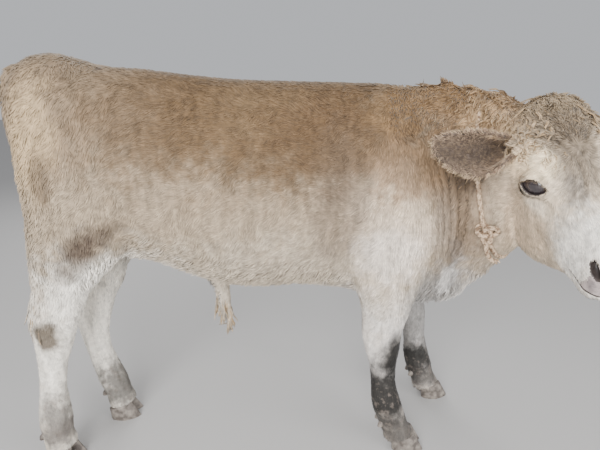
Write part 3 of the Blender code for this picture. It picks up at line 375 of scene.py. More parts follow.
# Folds of loose skin down the neck's sides, each as how far ahead its crease starts
# and how deep it is; two more crease the brisket.
NECK_FOLDS = [(0.240, 0.0022), (0.261, 0.0032), (0.282, 0.0044), (0.303, 0.0046),
              (0.322, 0.0038)]
BRISKET_FOLDS = [(0.298, 0.0042), (0.348, 0.0036)]


def crease_of(spots, normals):
    """How deep the creases of the neck and the brisket are at each point, in metres."""
    x, _, z = spots.T
    beside = smooth_step(np.abs(normals[:, 1]), 0.35, 0.75)
    on_neck = beside * smooth_step(z, 0.60, 0.68) * smooth_step(z, 0.90, 0.84)
    bow = 0.030 * (1 - ((z - 0.71) / 0.155) ** 2)
    deep = np.zeros(len(spots))
    for start, depth in NECK_FOLDS:
        deep += depth * np.exp(-((x - start - bow) / 0.0042) ** 2) * on_neck
    low = smooth_step(z, 0.46, 0.49) * smooth_step(z, 0.61, 0.56) * (beside * 0.6 + 0.4)
    for start, depth in BRISKET_FOLDS:
        deep += depth * np.exp(-((x - start + 0.25 * (z - 0.53)) / 0.0055) ** 2) * low
    return deep


def lip_gap(local):
    """How far a point of the muzzle is above the line where the lips meet."""
    fore, side = (local[:, 0] - 0.815) / 0.24, local[:, 2] / 0.19
    along = fore / (np.hypot(fore, side) + 1e-9)
    level = -0.275 + 0.050 * np.clip(0.15 + 1.10 * along, 0, 1)
    return np.where(along > -0.14, local[:, 1] - level, 1.0)


def brow_waves(local):
    """Ridges of hair in arcs round the brow, from -1 to 1."""
    total = np.zeros(len(local))
    for side in ("right", "left"):
        centre = np.array(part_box("eye_" + side)).mean(axis=0)
        off = local - to_head(centre[None])
        far = np.hypot(off[:, 0] * 0.95, off[:, 1] * 0.55 + np.abs(off[:, 2]) * 0.9)
        band = np.exp(-((far - 0.215) / 0.055) ** 2)
        above = smooth_step(off[:, 1], -0.02, 0.06) * smooth_step(local[:, 0], 0.62, 0.50)
        total += np.cos(2 * math.pi * far / 0.047) * band * above
    return np.clip(total, -1, 1)


# The crest's skin lies flat under its locks of hair.
CREST_ROUNDS = 110
skin = joined([merged_copy(node, EAR_GROW if "ear_" in node else GROW)
               for node in FLESH], "skin")
remesh = skin.modifiers.new("remesh", "REMESH")
remesh.mode = "VOXEL"
remesh.voxel_size = GRAIN
apply_all(skin)
spots = vectors_of(skin.data.vertices)
broad = (1 - head_part(spots)) * np.clip((spots[:, 2] - 0.16) / 0.10, 0, 1)
local = to_head(spots)
tuft_of_poll = (local[:, 0] < 0.24) & (local[:, 1] > -0.02) & (np.abs(local[:, 2]) < 0.20)
broad = np.where(tuft_of_poll & (spots[:, 2] > 0.85), 1.0, broad)
crest = smooth_step(spots[:, 0], 0.17, 0.25) * smooth_step(spots[:, 2], 0.89, 0.96)
weight_by(skin, "broad", broad, 10)
weight_by(skin, "crest", crest * (1 - head_part(spots)), 10)
for rounds, group_name in ((3, ""), (26, "broad"), (CREST_ROUNDS, "crest")):
    ease = skin.modifiers.new("ease", "SMOOTH")
    ease.factor = 0.5
    ease.iterations = rounds
    ease.vertex_group = group_name
apply_all(skin)
spots = vectors_of(skin.data.vertices)
bent = vectors_of(skin.data.vertices, "normal")
local = to_head(spots)
head_share = head_part(spots)
dent = crease_of(spots, bent) * (1 - head_share)
lips = 0.0030 * np.exp(-(lip_gap(local) / 0.0075) ** 2) * (local[:, 0] > 0.74)
relief = 0.0032 * brow_waves(local) - lips
dent = dent - relief * head_share
skin.data.vertices.foreach_set("co", (spots - bent * dent[:, None]).ravel())
skin.data.update()
broad = broad * (1 - 0.6 * (np.abs(dent) > 0.0003))
weight_by(skin, "fine", 1 - broad, 12)
# The most triangles that one piece has.
PIECE_FACES = 190000
if 2 * len(skin.data.polygons) > PIECE_FACES:
    fewer = skin.modifiers.new("fewer", "DECIMATE")
    fewer.ratio = PIECE_FACES / (2 * len(skin.data.polygons))
    fewer.vertex_group = "fine"
    fewer.vertex_group_factor = 0.00002
    fewer.invert_vertex_group = True
    apply_all(skin)
skin.vertex_groups.clear()
skin.data.polygons.foreach_set("use_smooth", [True] * len(skin.data.polygons))


# Markings that skin and coat share: a tan back that pales to cream below, near white
# legs, a warm neck with fine upright streaks, a greyish forehead, and the dirt of a
# stall on thigh, hock, knees and fetlocks. Some blots are painted light instead: painted
# shade in the hollow between neck and brisket and on the face between eye and nose
# bridge, part of the far fore leg's grey as painted shade from the body, and a painted
# highlight on the brisket. All are painted by place on the animal.
def patch_group():
    """A soft-edged blot: 1 in the middle of an oval, 0 outside, with a ragged rim."""
    tree = bpy.data.node_groups.new("soft_patch", "ShaderNodeTree")
    for name, way, kind in (("Place", "INPUT", "Vector"), ("Middle", "INPUT", "Vector"),
                            ("Reach", "INPUT", "Vector"), ("Ragged", "INPUT", "Float"),
                            ("Mask", "OUTPUT", "Float")):
        tree.interface.new_socket(name, in_out=way, socket_type="NodeSocket" + kind)
    _, link, fed = node_kit(tree)
    enter = tree.nodes.new("NodeGroupInput").outputs
    leave = tree.nodes.new("NodeGroupOutput").inputs
    away = fed("VectorMath", enter["Place"], enter["Middle"], operation="SUBTRACT")[0]
    scaled = fed("VectorMath", away, enter["Reach"], operation="DIVIDE")[0]
    far = fed("VectorMath", scaled, operation="LENGTH")["Value"]
    noise = fed("TexNoise", enter["Place"], Scale=26.0, Detail=4.0, Roughness=0.6)["Fac"]
    centred = fed("Math", noise, 0.5, operation="SUBTRACT")[0]
    wobble = fed("Math", centred, enter["Ragged"], operation="MULTIPLY")[0]
    total = fed("Math", far, wobble, operation="ADD")[0]
    edge = fed("MapRange", total, 1.25, 0.45, interpolation_type="SMOOTHSTEP")
    link(edge["Result"], leave["Mask"])
    return tree


CREAM = (0.34, 0.265, 0.185)
TAN = (0.143, 0.087, 0.041)
WARM = (0.212, 0.148, 0.096)
WHITE = (0.88, 0.83, 0.74)
GOLD = (0.235, 0.142, 0.068)
DIRT = (0.008, 0.007, 0.006)
THIGH = (0.085, 0.060, 0.043)
# Place, reach, colour, strength and raggedness of each marking, the broad ones first.
MARKINGS_AND_PAINTED_SHADING = [
    ((-0.10, 0.00, 0.52), (0.60, 0.40, 0.20), (0.48, 0.41, 0.32), 0.75, 1.2),
    ((-0.20, 0.00, 1.07), (0.58, 0.60, 0.29), TAN, 0.92, 0.8),
    ((-0.66, 0.00, 1.03), (0.27, 0.45, 0.20), (0.250, 0.180, 0.115), 0.85, 1.2),
    ((-0.42, 0.00, 0.98), (0.19, 0.50, 0.13), (0.105, 0.062, 0.030), 0.55, 1.2),
    ((0.02, 0.00, 0.93), (0.22, 0.50, 0.13), (0.108, 0.062, 0.030), 0.70, 1.2),
    ((-0.70, 0.00, 0.93), (0.07, 0.14, 0.15), (0.52, 0.38, 0.22), 0.75, 0.8),
    ((0.34, 0.06, 0.80), (0.15, 0.30, 0.27), WARM, 0.90, 0.8),
    ((0.38, 0.03, 1.02), (0.22, 0.22, 0.10), GOLD, 0.95, 0.8),
    ((0.15, -0.06, 0.70), (0.12, 0.14, 0.20), (0.62, 0.50, 0.38), 0.85, 1.2),
    ((0.01, -0.05, 0.77), (0.08, 0.10, 0.20), (0.17, 0.125, 0.09), 0.60, 1.4),
    ((0.19, -0.04, 0.865), (0.13, 0.12, 0.100), (0.25, 0.155, 0.082), 0.75, 1.5),
    ((0.14, -0.05, 0.64), (0.10, 0.12, 0.08), (0.80, 0.74, 0.68), 0.45, 1.2),
    ((0.280, -0.02, 0.70), (0.05, 0.10, 0.09), (0.56, 0.48, 0.40), 0.22, 1.2),
    ((0.17, 0.00, 0.985), (0.10, 0.20, 0.060), (0.215, 0.130, 0.062), 0.85, 1.0),
    # Painted shade in the hollow between neck and brisket.
    ((0.335, 0.00, 0.625), (0.03, 0.08, 0.05), (0.16, 0.13, 0.11), 0.55, 1.2),
    ((-0.60, -0.02, 0.54), (0.13, 0.14, 0.12), (0.97, 0.92, 0.83), 0.95, 1.0),
    ((-0.62, 0.10, 0.30), (0.32, 0.30, 0.39), WHITE, 0.95, 0.7),
    ((0.26, 0.13, 0.28), (0.36, 0.30, 0.33), (0.76, 0.72, 0.68), 0.95, 0.7),
    # The far fore leg's grey: partly grey dirt, partly painted shade from the body above it.
    ((0.33, 0.25, 0.34), (0.14, 0.09, 0.24), (0.13, 0.125, 0.12), 0.75, 0.8),
    ((0.29, 0.10, 0.50), (0.11, 0.30, 0.11), (0.14, 0.135, 0.13), 0.70, 0.8),
    ((-0.535, -0.05, 0.728), (0.045, 0.08, 0.024), THIGH, 0.45, 1.5),
    ((-0.572, -0.05, 0.705), (0.045, 0.08, 0.034), THIGH, 0.75, 1.5),
    ((-0.606, -0.05, 0.677), (0.050, 0.08, 0.042), THIGH, 0.92, 1.5),
    ((-0.640, -0.05, 0.635), (0.045, 0.08, 0.040), THIGH, 0.62, 1.5),
    ((-0.662, -0.05, 0.600), (0.035, 0.08, 0.030), THIGH, 0.55, 1.5),
    ((-0.675, -0.06, 0.850), (0.035, 0.07, 0.060), (0.100, 0.070, 0.048), 0.65, 1.2),
    ((0.350, -0.02, 0.850), (0.060, 0.10, 0.070), (0.120, 0.080, 0.050), 0.80, 0.8),
    ((-0.09, -0.05, 0.895), (0.20, 0.20, 0.07), (0.105, 0.063, 0.031), 0.50, 1.0),
    ((-0.745, -0.02, 0.425), (0.044, 0.06, 0.052), (0.085, 0.060, 0.036), 0.90, 1.4),
    ((-0.755, -0.01, 0.160), (0.060, 0.07, 0.095), (0.15, 0.135, 0.12), 0.85, 1.6),
    ((-0.559, 0.078, 1.088), (0.010, 0.012, 0.010), (0.06, 0.04, 0.03), 0.80, 0.3),
    ((0.195, -0.010, 0.330), (0.070, 0.080, 0.078), DIRT, 0.97, 0.9),
    ((0.160, 0.010, 0.190), (0.120, 0.120, 0.130), DIRT, 0.97, 1.0),
    ((0.215, 0.010, 0.080), (0.100, 0.090, 0.070), (0.060, 0.053, 0.047), 0.90, 1.4),
    ((0.330, 0.245, 0.155), (0.095, 0.095, 0.075), (0.016, 0.015, 0.013), 0.96, 1.1),
    ((0.365, 0.245, 0.090), (0.090, 0.080, 0.065), (0.045, 0.040, 0.036), 0.90, 1.2),
    ((-0.655, 0.220, 0.125), (0.080, 0.080, 0.110), (0.060, 0.054, 0.048), 0.85, 1.6),
    # A painted highlight on the brisket's fold, between its two creases.
    ((0.322, 0.02, 0.530), (0.030, 0.08, 0.070), (0.62, 0.59, 0.56), 0.60, 1.4),
    ((0.39, 0.00, 0.965), (0.08, 0.10, 0.065), (0.50, 0.335, 0.185), 0.88, 0.8),
    ((-0.770, 0.035, 0.110), (0.070, 0.070, 0.050), (0.15, 0.13, 0.115), 0.75, 1.6),
]
# The same for the head, placed in head lengths from the poll.
FACE_MARKINGS_AND_SHADE = [
    ((0.55, -0.20, 0.00), (0.62, 0.60, 0.40), (0.62, 0.51, 0.385), 1.00, 0.4),
    ((0.10, 0.02, 0.00), (0.24, 0.20, 0.22), (0.235, 0.175, 0.112), 0.90, 0.8),
    ((0.28, 0.06, 0.03), (0.16, 0.12, 0.12), (0.145, 0.107, 0.072), 0.75, 1.0),
    ((0.01, 0.03, 0.00), (0.10, 0.12, 0.22), (0.34, 0.26, 0.17), 0.75, 0.8),
    ((0.40, 0.00, 0.02), (0.16, 0.10, 0.13), (0.205, 0.163, 0.120), 0.78, 1.0),
    # Painted shade on the face between the eye and the nose's bridge, where the side turns to the
    # front.
    ((0.53, -0.01, 0.09), (0.11, 0.08, 0.06), (0.25, 0.215, 0.18), 0.75, 0.9),
    ((0.50, -0.40, 0.17), (0.22, 0.22, 0.10), (0.62, 0.47, 0.325), 0.70, 1.0),
    ((0.24, -0.10, 0.20), (0.13, 0.12, 0.09), (0.92, 0.72, 0.48), 0.88, 0.7),
    ((0.34, -0.02, 0.19), (0.10, 0.07, 0.09), (0.93, 0.76, 0.52), 0.95, 0.5),
    ((0.31, -0.30, 0.20), (0.14, 0.12, 0.10), (0.44, 0.325, 0.22), 0.60, 1.0),
    ((0.46, -0.18, 0.22), (0.12, 0.06, 0.10), (0.84, 0.72, 0.57), 0.85, 0.5),
    ((0.74, -0.14, 0.05), (0.20, 0.20, 0.16), (0.86, 0.82, 0.75), 0.90, 0.8),
    ((0.84, -0.24, 0.00), (0.20, 0.14, 0.20), (0.95, 0.92, 0.86), 0.90, 0.6),
]


def rotated_place(fed, place):
    """The place in head lengths along the head's own axes."""
    off = fed("VectorMath", place, tuple(POLL), operation="SUBTRACT")[0]
    along = [fed("VectorMath", off, tuple(axis / HEAD_LENGTH), operation="DOT_PRODUCT")["Value"]
             for axis in (HEAD_AHEAD, HEAD_UP, HEAD_RIGHT)]
    return fed("CombineXYZ", *along)[0]


def lip_line(fed, head_place):
    """A mask for the narrow dark line where the lips meet, as in lip_gap."""
    def step(operation, *inputs):
        return fed("Math", *inputs, operation=operation)[0]

    ahead, above, side = fed("SeparateXYZ", head_place)
    fore = step("DIVIDE", step("SUBTRACT", ahead, 0.815), 0.24)
    beside = step("DIVIDE", side, 0.19)
    reach = step("SQRT", step("ADD", step("MULTIPLY", fore, fore),
                              step("MULTIPLY", beside, beside)))
    along = step("DIVIDE", fore, reach)
    rise = step("MINIMUM", step("MAXIMUM", step("ADD", step("MULTIPLY", along, 1.10), 0.15),
                                0.0), 1.0)
    level = step("ADD", step("MULTIPLY", rise, 0.050), -0.275)
    gap = step("ABSOLUTE", step("SUBTRACT", above, level))
    edge = fed("MapRange", gap, 0.0110, 0.0045, interpolation_type="SMOOTHSTEP")["Result"]
    muzzle = step("MULTIPLY", step("GREATER_THAN", ahead, 0.74),
                  step("GREATER_THAN", along, -0.14))
    return step("MULTIPLY", edge, muzzle)


def markings_and_shading_group():
    """The coat's colour at each place: the blots, some of them painted shade and a painted
    highlight, the mouth's line, mud and streaks.
    """
    tree = bpy.data.node_groups.new("calf_markings_and_shading", "ShaderNodeTree")
    tree.interface.new_socket("Color", in_out="OUTPUT", socket_type="NodeSocketColor")
    add, link, fed = node_kit(tree)
    leave = tree.nodes.new("NodeGroupOutput").inputs
    place = add("TexCoord").outputs["Object"]
    head_place = rotated_place(fed, place)
    blot = patch_group()

    def mixed(below, above, mask):
        mix = add("Mix", data_type="RGBA")
        link(mask, mix.inputs[0])
        if isinstance(below, tuple):
            mix.inputs[6].default_value = (*below, 1)
        else:
            link(below, mix.inputs[6])
        mix.inputs[7].default_value = (*above, 1)
        return mix.outputs[2]

    color = CREAM
    marks_and_shading = [(place, mark) for mark in MARKINGS_AND_PAINTED_SHADING] + [(head_place, mark) for mark in FACE_MARKINGS_AND_SHADE]
    for where, (middle, reach, tint, strength, ragged) in marks_and_shading:
        mark = fed("Group", where, middle, reach, ragged, node_tree=blot)[0]
        color = mixed(color, tint, fed("Math", mark, strength, operation="MULTIPLY")[0])
    color = mixed(color, (0.035, 0.028, 0.026), lip_line(fed, head_place))
    height = fed("SeparateXYZ", place)["Z"]
    low = fed("MapRange", height, 0.28, 0.20, 0.0, 0.45, interpolation_type="SMOOTHSTEP")
    splash = fed("TexNoise", place, Scale=48.0, Detail=5.0, Roughness=0.65)["Fac"]
    fleck = fed("MapRange", splash, 0.52, 0.64, interpolation_type="SMOOTHSTEP")
    muddy = fed("Math", low["Result"], fleck["Result"], operation="MULTIPLY")[0]
    color = mixed(color, (0.20, 0.165, 0.14), muddy)
    stretch = fed("Mapping", place, Scale=(60.0, 60.0, 9.0))[0]
    streaks = fed("TexNoise", stretch, Scale=1.0, Detail=3.0)["Fac"]
    tufty = fed("TexNoise", place, Scale=75.0, Detail=3.0, Roughness=0.65)["Fac"]
    both = fed("Math", streaks, tufty, operation="ADD")[0]
    light = fed("MapRange", both, 0.70, 1.30, 0.70, 1.24)["Result"]
    shade = add("VectorMath", operation="SCALE")
    link(color, shade.inputs[0])
    link(light, shade.inputs["Scale"])
    link(shade.outputs[0], leave["Color"])
    return tree


MARKED_AND_SHADED = markings_and_shading_group()


def toned(material, color):
    """A colour made lighter or darker by each tuft's tone, as the material's paint; on the coat
    the tone holds painted shade and light too.
    """
    add, link, _ = node_kit(material.node_tree)
    own = add("Attribute", attribute_name="tone").outputs["Fac"]
    scaled = add("VectorMath", operation="SCALE")
    link(color, scaled.inputs[0])
    link(own, scaled.inputs["Scale"])
    shader = material.node_tree.nodes["Principled BSDF"]
    link(scaled.outputs[0], shader.inputs["Base Color"])


def hair_material(name, rough, sheen, tufts):
    """Hair in the calf's markings and painted shading: of tufts, each with its tone, or flat with
    a grain.
    """
    material = bpy.data.materials.new(name)
    material.use_nodes = True
    tree = material.node_tree
    add, link, fed = node_kit(tree)
    shader = tree.nodes["Principled BSDF"]
    color = fed("Group", node_tree=MARKED_AND_SHADED)["Color"]
    if tufts:
        toned(material, color)
    else:
        link(color, shader.inputs["Base Color"])
        grain = fed("TexNoise", add("TexCoord").outputs["Object"], Scale=260.0, Detail=3.0)
        roughened(material, grain["Fac"], 0.5, 0.0015)
    shader.inputs["Roughness"].default_value = rough
    shader.inputs["Specular IOR Level"].default_value = 0.25
    shader.inputs["Sheen Weight"].default_value = sheen
    return material


SKIN_HAIR = hair_material("skin_hair", 0.85, 0.0, False)
COAT_HAIR = hair_material("coat_hair", 0.72, 0.10, True)


def plain_hair(name, dark, light):
    """Hair of one kind that varies softly between two colours."""
    material, shader, _, color = mottled(name, dark, light, 110.0, 3.0, (0.35, 0.65), 0.7)
    toned(material, color)
    shader.inputs["Specular IOR Level"].default_value = 0.25
    shader.inputs["Sheen Weight"].default_value = 0.1
    return material


PALE_HAIR = plain_hair("pale_hair", (0.30, 0.20, 0.105), (0.56, 0.41, 0.25))
RIM_HAIR = plain_hair("rim_hair", (0.26, 0.185, 0.105), (0.46, 0.35, 0.215))
EAR_DOWN = plain_hair("ear_down", (0.080, 0.053, 0.036), (0.190, 0.134, 0.088))


def bare_skin():
    """Damp grey-pink skin of the nose, finely pebbled."""
    material, _, place, _ = mottled("muzzle_skin", (0.20, 0.17, 0.17), (0.50, 0.42, 0.40),
                                    45.0, 4.0, (0.38, 0.62), 0.38)
    _, _, fed = node_kit(material.node_tree)
    roughened(material, fed("TexVoronoi", place, Scale=330.0)["Distance"], 0.4, 0.001)
    return material


def dark_skin():
    """Black-brown skin of the lids and of the nostrils' lining."""
    return mottled("dark_skin", (0.022, 0.017, 0.016), (0.085, 0.068, 0.062),
                   120.0, 3.0, (0.0, 1.0), 0.45)[0]


def ear_skin():
    """The cup of the ear: grey-brown skin, mottled darker."""
    return mottled("ear_skin", (0.050, 0.035, 0.027), (0.14, 0.10, 0.075),
                   40.0, 5.0, (0.35, 0.70), 0.8)[0]


eyes = {}
for side in ("right", "left"):
    eyes[side] = np.array(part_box("eye_" + side)).mean(axis=0)

middles = vectors_of(skin.data.polygons, "center")
normals = vectors_of(skin.data.polygons, "normal")
local = to_head(middles)
on_head = head_part(middles) > 0.5
# The nose pad is bare; the nostrils' lining and the lids are dark.
nose = on_head & (local[:, 0] > 0.872 + 0.8 * np.maximum(0, np.abs(local[:, 2]) - 0.10))
nose &= (local[:, 1] < -0.045) & (np.abs(local[:, 2]) < 0.16) & (lip_gap(local) > 0.004)


def nostril_axes(sign):
    """The nostril's long, short and inward axes, in the head's frame."""
    inward = np.array([-0.80, -0.10, -0.45 * sign])
    inward /= np.linalg.norm(inward)
    slit = np.array([-0.15, 0.62, 0.70 * sign])
    slit -= inward * (slit @ inward)
    slit /= np.linalg.norm(slit)
    return np.array([slit, np.cross(inward, slit), inward])


nostril = np.zeros(len(middles), bool)
for sign in (1, -1):
    off = (local - (0.885, -0.108, 0.112 * sign)) @ nostril_axes(sign).T
    nostril |= ((off / (0.043, 0.025, 0.066)) ** 2).sum(axis=1) < 1


def eye_axes(sign):
    """The eye's long, short and outward axes."""
    out = np.array([0.50, 0.24, 0.83 * sign])
    out /= np.linalg.norm(out)
    long = np.array([math.cos(math.radians(28)), math.sin(math.radians(28)), 0.0])
    long -= out * (long @ out)
    long /= np.linalg.norm(long)
    return np.array([long, np.cross(out, long), out]) @ HEAD_AXES


SIDES = (("right", 1), ("left", -1))
SLIT_HALF = (0.0310, 0.0172)
LID_RIM = 0.0022
EYE_BACK = -0.02


def slit_place(spots, side, sign):
    """Points in an eye's own axes, and half the height of its slit beside each."""
    x, y, z = ((spots - eyes[side]) @ eye_axes(sign).T).T
    almond = SLIT_HALF[1] * (1 - np.clip(np.abs(x) / SLIT_HALF[0], 0, 1) ** 2)
    return np.abs(x), np.abs(y), z, almond


lids = np.zeros(len(middles), bool)
for side, sign in SIDES:
    x, y, z, almond = slit_place(middles, side, sign)
    lids |= (x < SLIT_HALF[0] + LID_RIM) & (y < almond + LID_RIM) & (z > EYE_BACK)
slots = np.zeros(len(middles), int)
slots[nose] = 1
slots[nostril | (on_head & lids)] = 2


def ear_trees():
    """Search trees of the two ears, to know where the skin belongs to an ear."""
    trees = {}
    for name in ("ear_right", "ear_left"):
        shape = bmesh.new()
        shape.from_mesh(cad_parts[name].data)
        trees[name] = BVHTree.FromBMesh(shape)
        shape.free()
    return trees


EAR_TREES = ear_trees()
EAR_FACING = 0.55 * HEAD_AHEAD + 0.83 * HEAD_UP


def ear_place(spots):
    """For points near an ear: how far out along it they are, from 0 to 1, or -1."""
    local = to_head(spots)
    out = np.abs(local[:, 2])
    place = np.full(len(spots), -1.0)
    near = ((out > 0.20) & (local[:, 0] > 0.02) & (local[:, 0] < 0.42)
            & (local[:, 1] > -0.25) & (local[:, 1] < 0.25))
    for index in np.nonzero(near)[0]:
        name = "ear_right" if local[index, 2] > 0 else "ear_left"
        hit = EAR_TREES[name].find_nearest(Vector(spots[index]), 0.006)
        if hit[0] is not None:
            place[index] = (out[index] - 0.18) / 0.54
    return place


def ear_edge(spots, place):
    """How near the ear's rim points are, from 0 to 1, and which way the rim is."""
    local = to_head(spots)
    sign = np.where(local[:, 2] > 0, 1.0, -1.0)
    root = np.stack([0.172 + 0 * sign, -0.045 + 0 * sign, 0.180 * sign], axis=1)
    tip = np.stack([0.222 + 0 * sign, 0.066 + 0 * sign, 0.720 * sign], axis=1)
    along = (tip - root) / np.linalg.norm(tip - root, axis=1)[:, None]
    wide = np.tile([0.80, -0.60, 0.0], (len(spots), 1))
    wide -= along * (wide * along).sum(axis=1)[:, None]
    wide /= np.linalg.norm(wide, axis=1)[:, None]
    part = np.clip(place, 0, 1)
    sag = 0.045 * np.sin(math.pi * part)[:, None] * np.array([1.0, -0.5, 0.0])
    off = local - root - (tip - root) * part[:, None] - sag
    half = np.interp(part, [0, 0.13, 0.30, 0.52, 0.72, 0.88, 0.97, 1],
                     [0.44, 0.53, 0.80, 1.0, 0.90, 0.62, 0.34, 0.16]) * 0.118
    beside = (off * wide).sum(axis=1) / half
    edge = np.clip(np.maximum(np.abs(beside), smooth_step(part, 0.84, 1.0)), 0, 1)
    return edge, (wide * beside[:, None]) @ HEAD_AXES


on_ear = ear_place(middles)
in_cup = (on_ear >= 0) & (normals @ EAR_FACING > 0.25)
slots[in_cup] = 3
for material in (SKIN_HAIR, bare_skin(), dark_skin(), ear_skin()):
    skin.data.materials.append(material)
skin.data.polygons.foreach_set("material_index", slots)
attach(skin, "root")
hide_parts(*FLESH)


# The eyes: dark wet balls that fill the lids. Each is the solid's own ball, rounded
# off, nearly black under a clear film.
def eye_wet():
    """A cow's eye, nearly black, under a clear wet coat."""
    material, shader, _, _ = mottled("eye_wet", (0.012, 0.009, 0.012), (0.045, 0.034, 0.036),
                                     70.0, 2.0, (0.0, 1.0), 0.12)
    shader.inputs["Coat Weight"].default_value = 1.0
    shader.inputs["Coat Roughness"].default_value = 0.04
    return material


def wear(piece, material):
    """Applies a piece's modifiers, rounds its shading and gives it one material."""
    apply_all(piece)
    piece.data.polygons.foreach_set("use_smooth", [True] * len(piece.data.polygons))
    piece.data.materials.clear()
    piece.data.materials.append(material)


EYE_WET = eye_wet()
for side in eyes:
    eyeball = merged_copy("eye_" + side, 0.0)
    eyeball.name = "eyeball_" + side
    round_off = eyeball.modifiers.new("round_off", "SUBSURF")
    round_off.levels = 2
    round_off.render_levels = 2
    wear(eyeball, EYE_WET)
    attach(eyeball, "root")
    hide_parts("eye_" + side)


# The claws and dewclaws: grey-brown horn with rings of growth that run round it.
# Each is a piece of its own, with its edges softened, set below the hair of the foot.
def horn():
    """Mottled horn with growth rings level with the coronet."""
    material, _, place, _ = mottled("claw_horn", (0.085, 0.070, 0.060), (0.27, 0.235, 0.20),
                                    55.0, 4.0, (0.35, 0.68), 0.6)
    _, _, fed = node_kit(material.node_tree)
    rings = fed("Mapping", place, Scale=(14.0, 14.0, 190.0))[0]
    roughened(material, fed("TexNoise", rings, Scale=1.0, Detail=2.0)["Fac"], 0.5, 0.001)
    return material


HORN = horn()
for name in sorted(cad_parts):
    if not name.startswith(("claw_", "dewclaw_")):
        continue
    hoof = merged_copy(name, 0.0)
    hoof.name = name.replace("claw", "horn")
    soften = hoof.modifiers.new("soften", "BEVEL")
    soften.width = 0.0018
    soften.segments = 2
    soften.limit_method = "ANGLE"
    soften.angle_limit = math.radians(40)
    wear(hoof, HORN)
    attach(hoof, "root")
    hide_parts(name)


# The coat: small three-sided tufts that follow the lie of the hair and taper to a
# point, short on face, ears and feet, longer on the neck and under the belly.
chance = np.random.default_rng(11)


def corners_of(piece):
    """The three corners of each triangle of a mesh, their normals, and its face."""
    mesh = piece.data
    mesh.calc_loop_triangles()
    index = np.empty(len(mesh.loop_triangles) * 3, int)
    mesh.loop_triangles.foreach_get("vertices", index)
    index = index.reshape(-1, 3)
    owner = np.empty(len(mesh.loop_triangles), int)
    mesh.loop_triangles.foreach_get("polygon_index", owner)
    bent = vectors_of(mesh.vertices, "normal")
    return vectors_of(mesh.vertices)[index], bent[index], owner


def waves(spots, scale, seed):
    """A smooth random field between about -1 and 1, of a given size in metres."""
    some = np.random.default_rng(seed)
    total = np.zeros(len(spots))
    for _ in range(7):
        way = some.normal(size=3)
        way /= np.linalg.norm(way)
        rate = some.uniform(0.6, 1.5) * 2 * math.pi / scale
        total += np.sin(spots @ way * rate + some.uniform(0, 6.28))
    return total / 2.6


def ramp(value, start, end):
    """0 up to start, 1 from end on, and even between them."""
    return np.clip((value - start) / (end - start), 0, 1)


corners, corner_normals, owners = corners_of(skin)
triangle_area = 0.5 * np.linalg.norm(np.cross(corners[:, 1] - corners[:, 0],
                                              corners[:, 2] - corners[:, 0]), axis=1)
triangle_middle = corners.mean(axis=1)
triangle_head = head_part(triangle_middle)
triangle_slot = slots[owners]
triangle_ear = on_ear[owners]


def sampled(share, count):
    """Random roots on the skin: each triangle by its share. Places, normals, triangles."""
    total = np.cumsum(share)
    picked = np.searchsorted(total, chance.uniform(0, total[-1], count))
    picked = np.clip(picked, 0, len(share) - 1)
    u, v = chance.uniform(size=(2, count))
    flip = u + v > 1
    u[flip], v[flip] = 1 - u[flip], 1 - v[flip]
    weights = np.stack([1 - u - v, u, v], axis=1)[:, :, None]
    surface = (corner_normals[picked] * weights).sum(axis=1)
    surface /= np.linalg.norm(surface, axis=1)[:, None]
    return (corners[picked] * weights).sum(axis=1), surface, picked


TRUNK_GAP, FACE_GAP, EAR_GAP = 0.0055, 0.0031, 0.0026


def spacing_of(spots, heads, ears):
    """How far apart tufts stand: closest on the ears, widest on the trunk."""
    z = spots[:, 2]
    gap = TRUNK_GAP - 0.0009 * ramp(z, 0.50, 0.42) - 0.0007 * ramp(z, 0.20, 0.12)
    gap = gap * (1 - heads) + FACE_GAP * heads
    return np.where(ears >= 0, EAR_GAP, gap)


def laid(ways, surface):
    """Directions laid into the skin."""
    ways = ways - surface * (ways * surface).sum(axis=1)[:, None]
    return ways / (np.linalg.norm(ways, axis=1)[:, None] + 1e-9)


def lie_of(spots, surface, heads, ears):
    """The way the hair lies at each root, along the skin."""
    down = np.array([0.0, 0.0, -1.0])
    x, y, z = spots.T
    way = np.tile([-1.0, 0.0, -0.30], (len(spots), 1))
    way += ramp(z, 0.80, 0.45)[:, None] * down * 0.9
    front = ramp(x, 0.02, 0.18)[:, None]
    way = way * (1 - front) + front * np.array([-0.25, 0.0, -1.0])
    rear = ramp(x, -0.46, -0.60)[:, None]
    way = way * (1 - rear) + rear * np.array([-0.30, 0.0, -1.0])
    leg = ramp(z, 0.50, 0.38)[:, None]
    way = way * (1 - leg) + leg * down
    crest = (ramp(x, 0.16, 0.26) * ramp(z, 0.93, 0.98))[:, None]
    side = np.sign(y - 0.115)[:, None] * np.array([0.0, 1.0, 0.0])
    way = way * (1 - crest) + crest * (np.array([-0.55, 0.0, 0.0]) + 0.9 * side)
    local = to_head(spots)
    from_whorl = local - np.array([0.30, 0.05, 0.0])
    face = (from_whorl * (1.0, 0.35, 1.3)) @ HEAD_AXES
    face /= np.linalg.norm(face, axis=1)[:, None] + 1e-9
    way = way * (1 - heads[:, None]) + heads[:, None] * face
    fan = np.sign(local[:, 2:]) * HEAD_RIGHT + 0.9 * ear_edge(spots, ears)[1]
    way = np.where((ears >= 0)[:, None], fan, way)
    by_rope = smooth_step(rope_gap(spots), 0.038, 0.020)[:, None]
    way = way * (1 - by_rope) + by_rope * down
    way = laid(way, surface)
    turn = 0.36 * waves(spots, 0.11, 3) + 0.26 * waves(spots, 0.035, 4)
    turn = turn * np.where(heads > 0.5, 0.55, 1.0) + chance.normal(0, 0.15, len(spots))
    return (way * np.cos(turn)[:, None]
            + np.cross(surface, way) * np.sin(turn)[:, None])


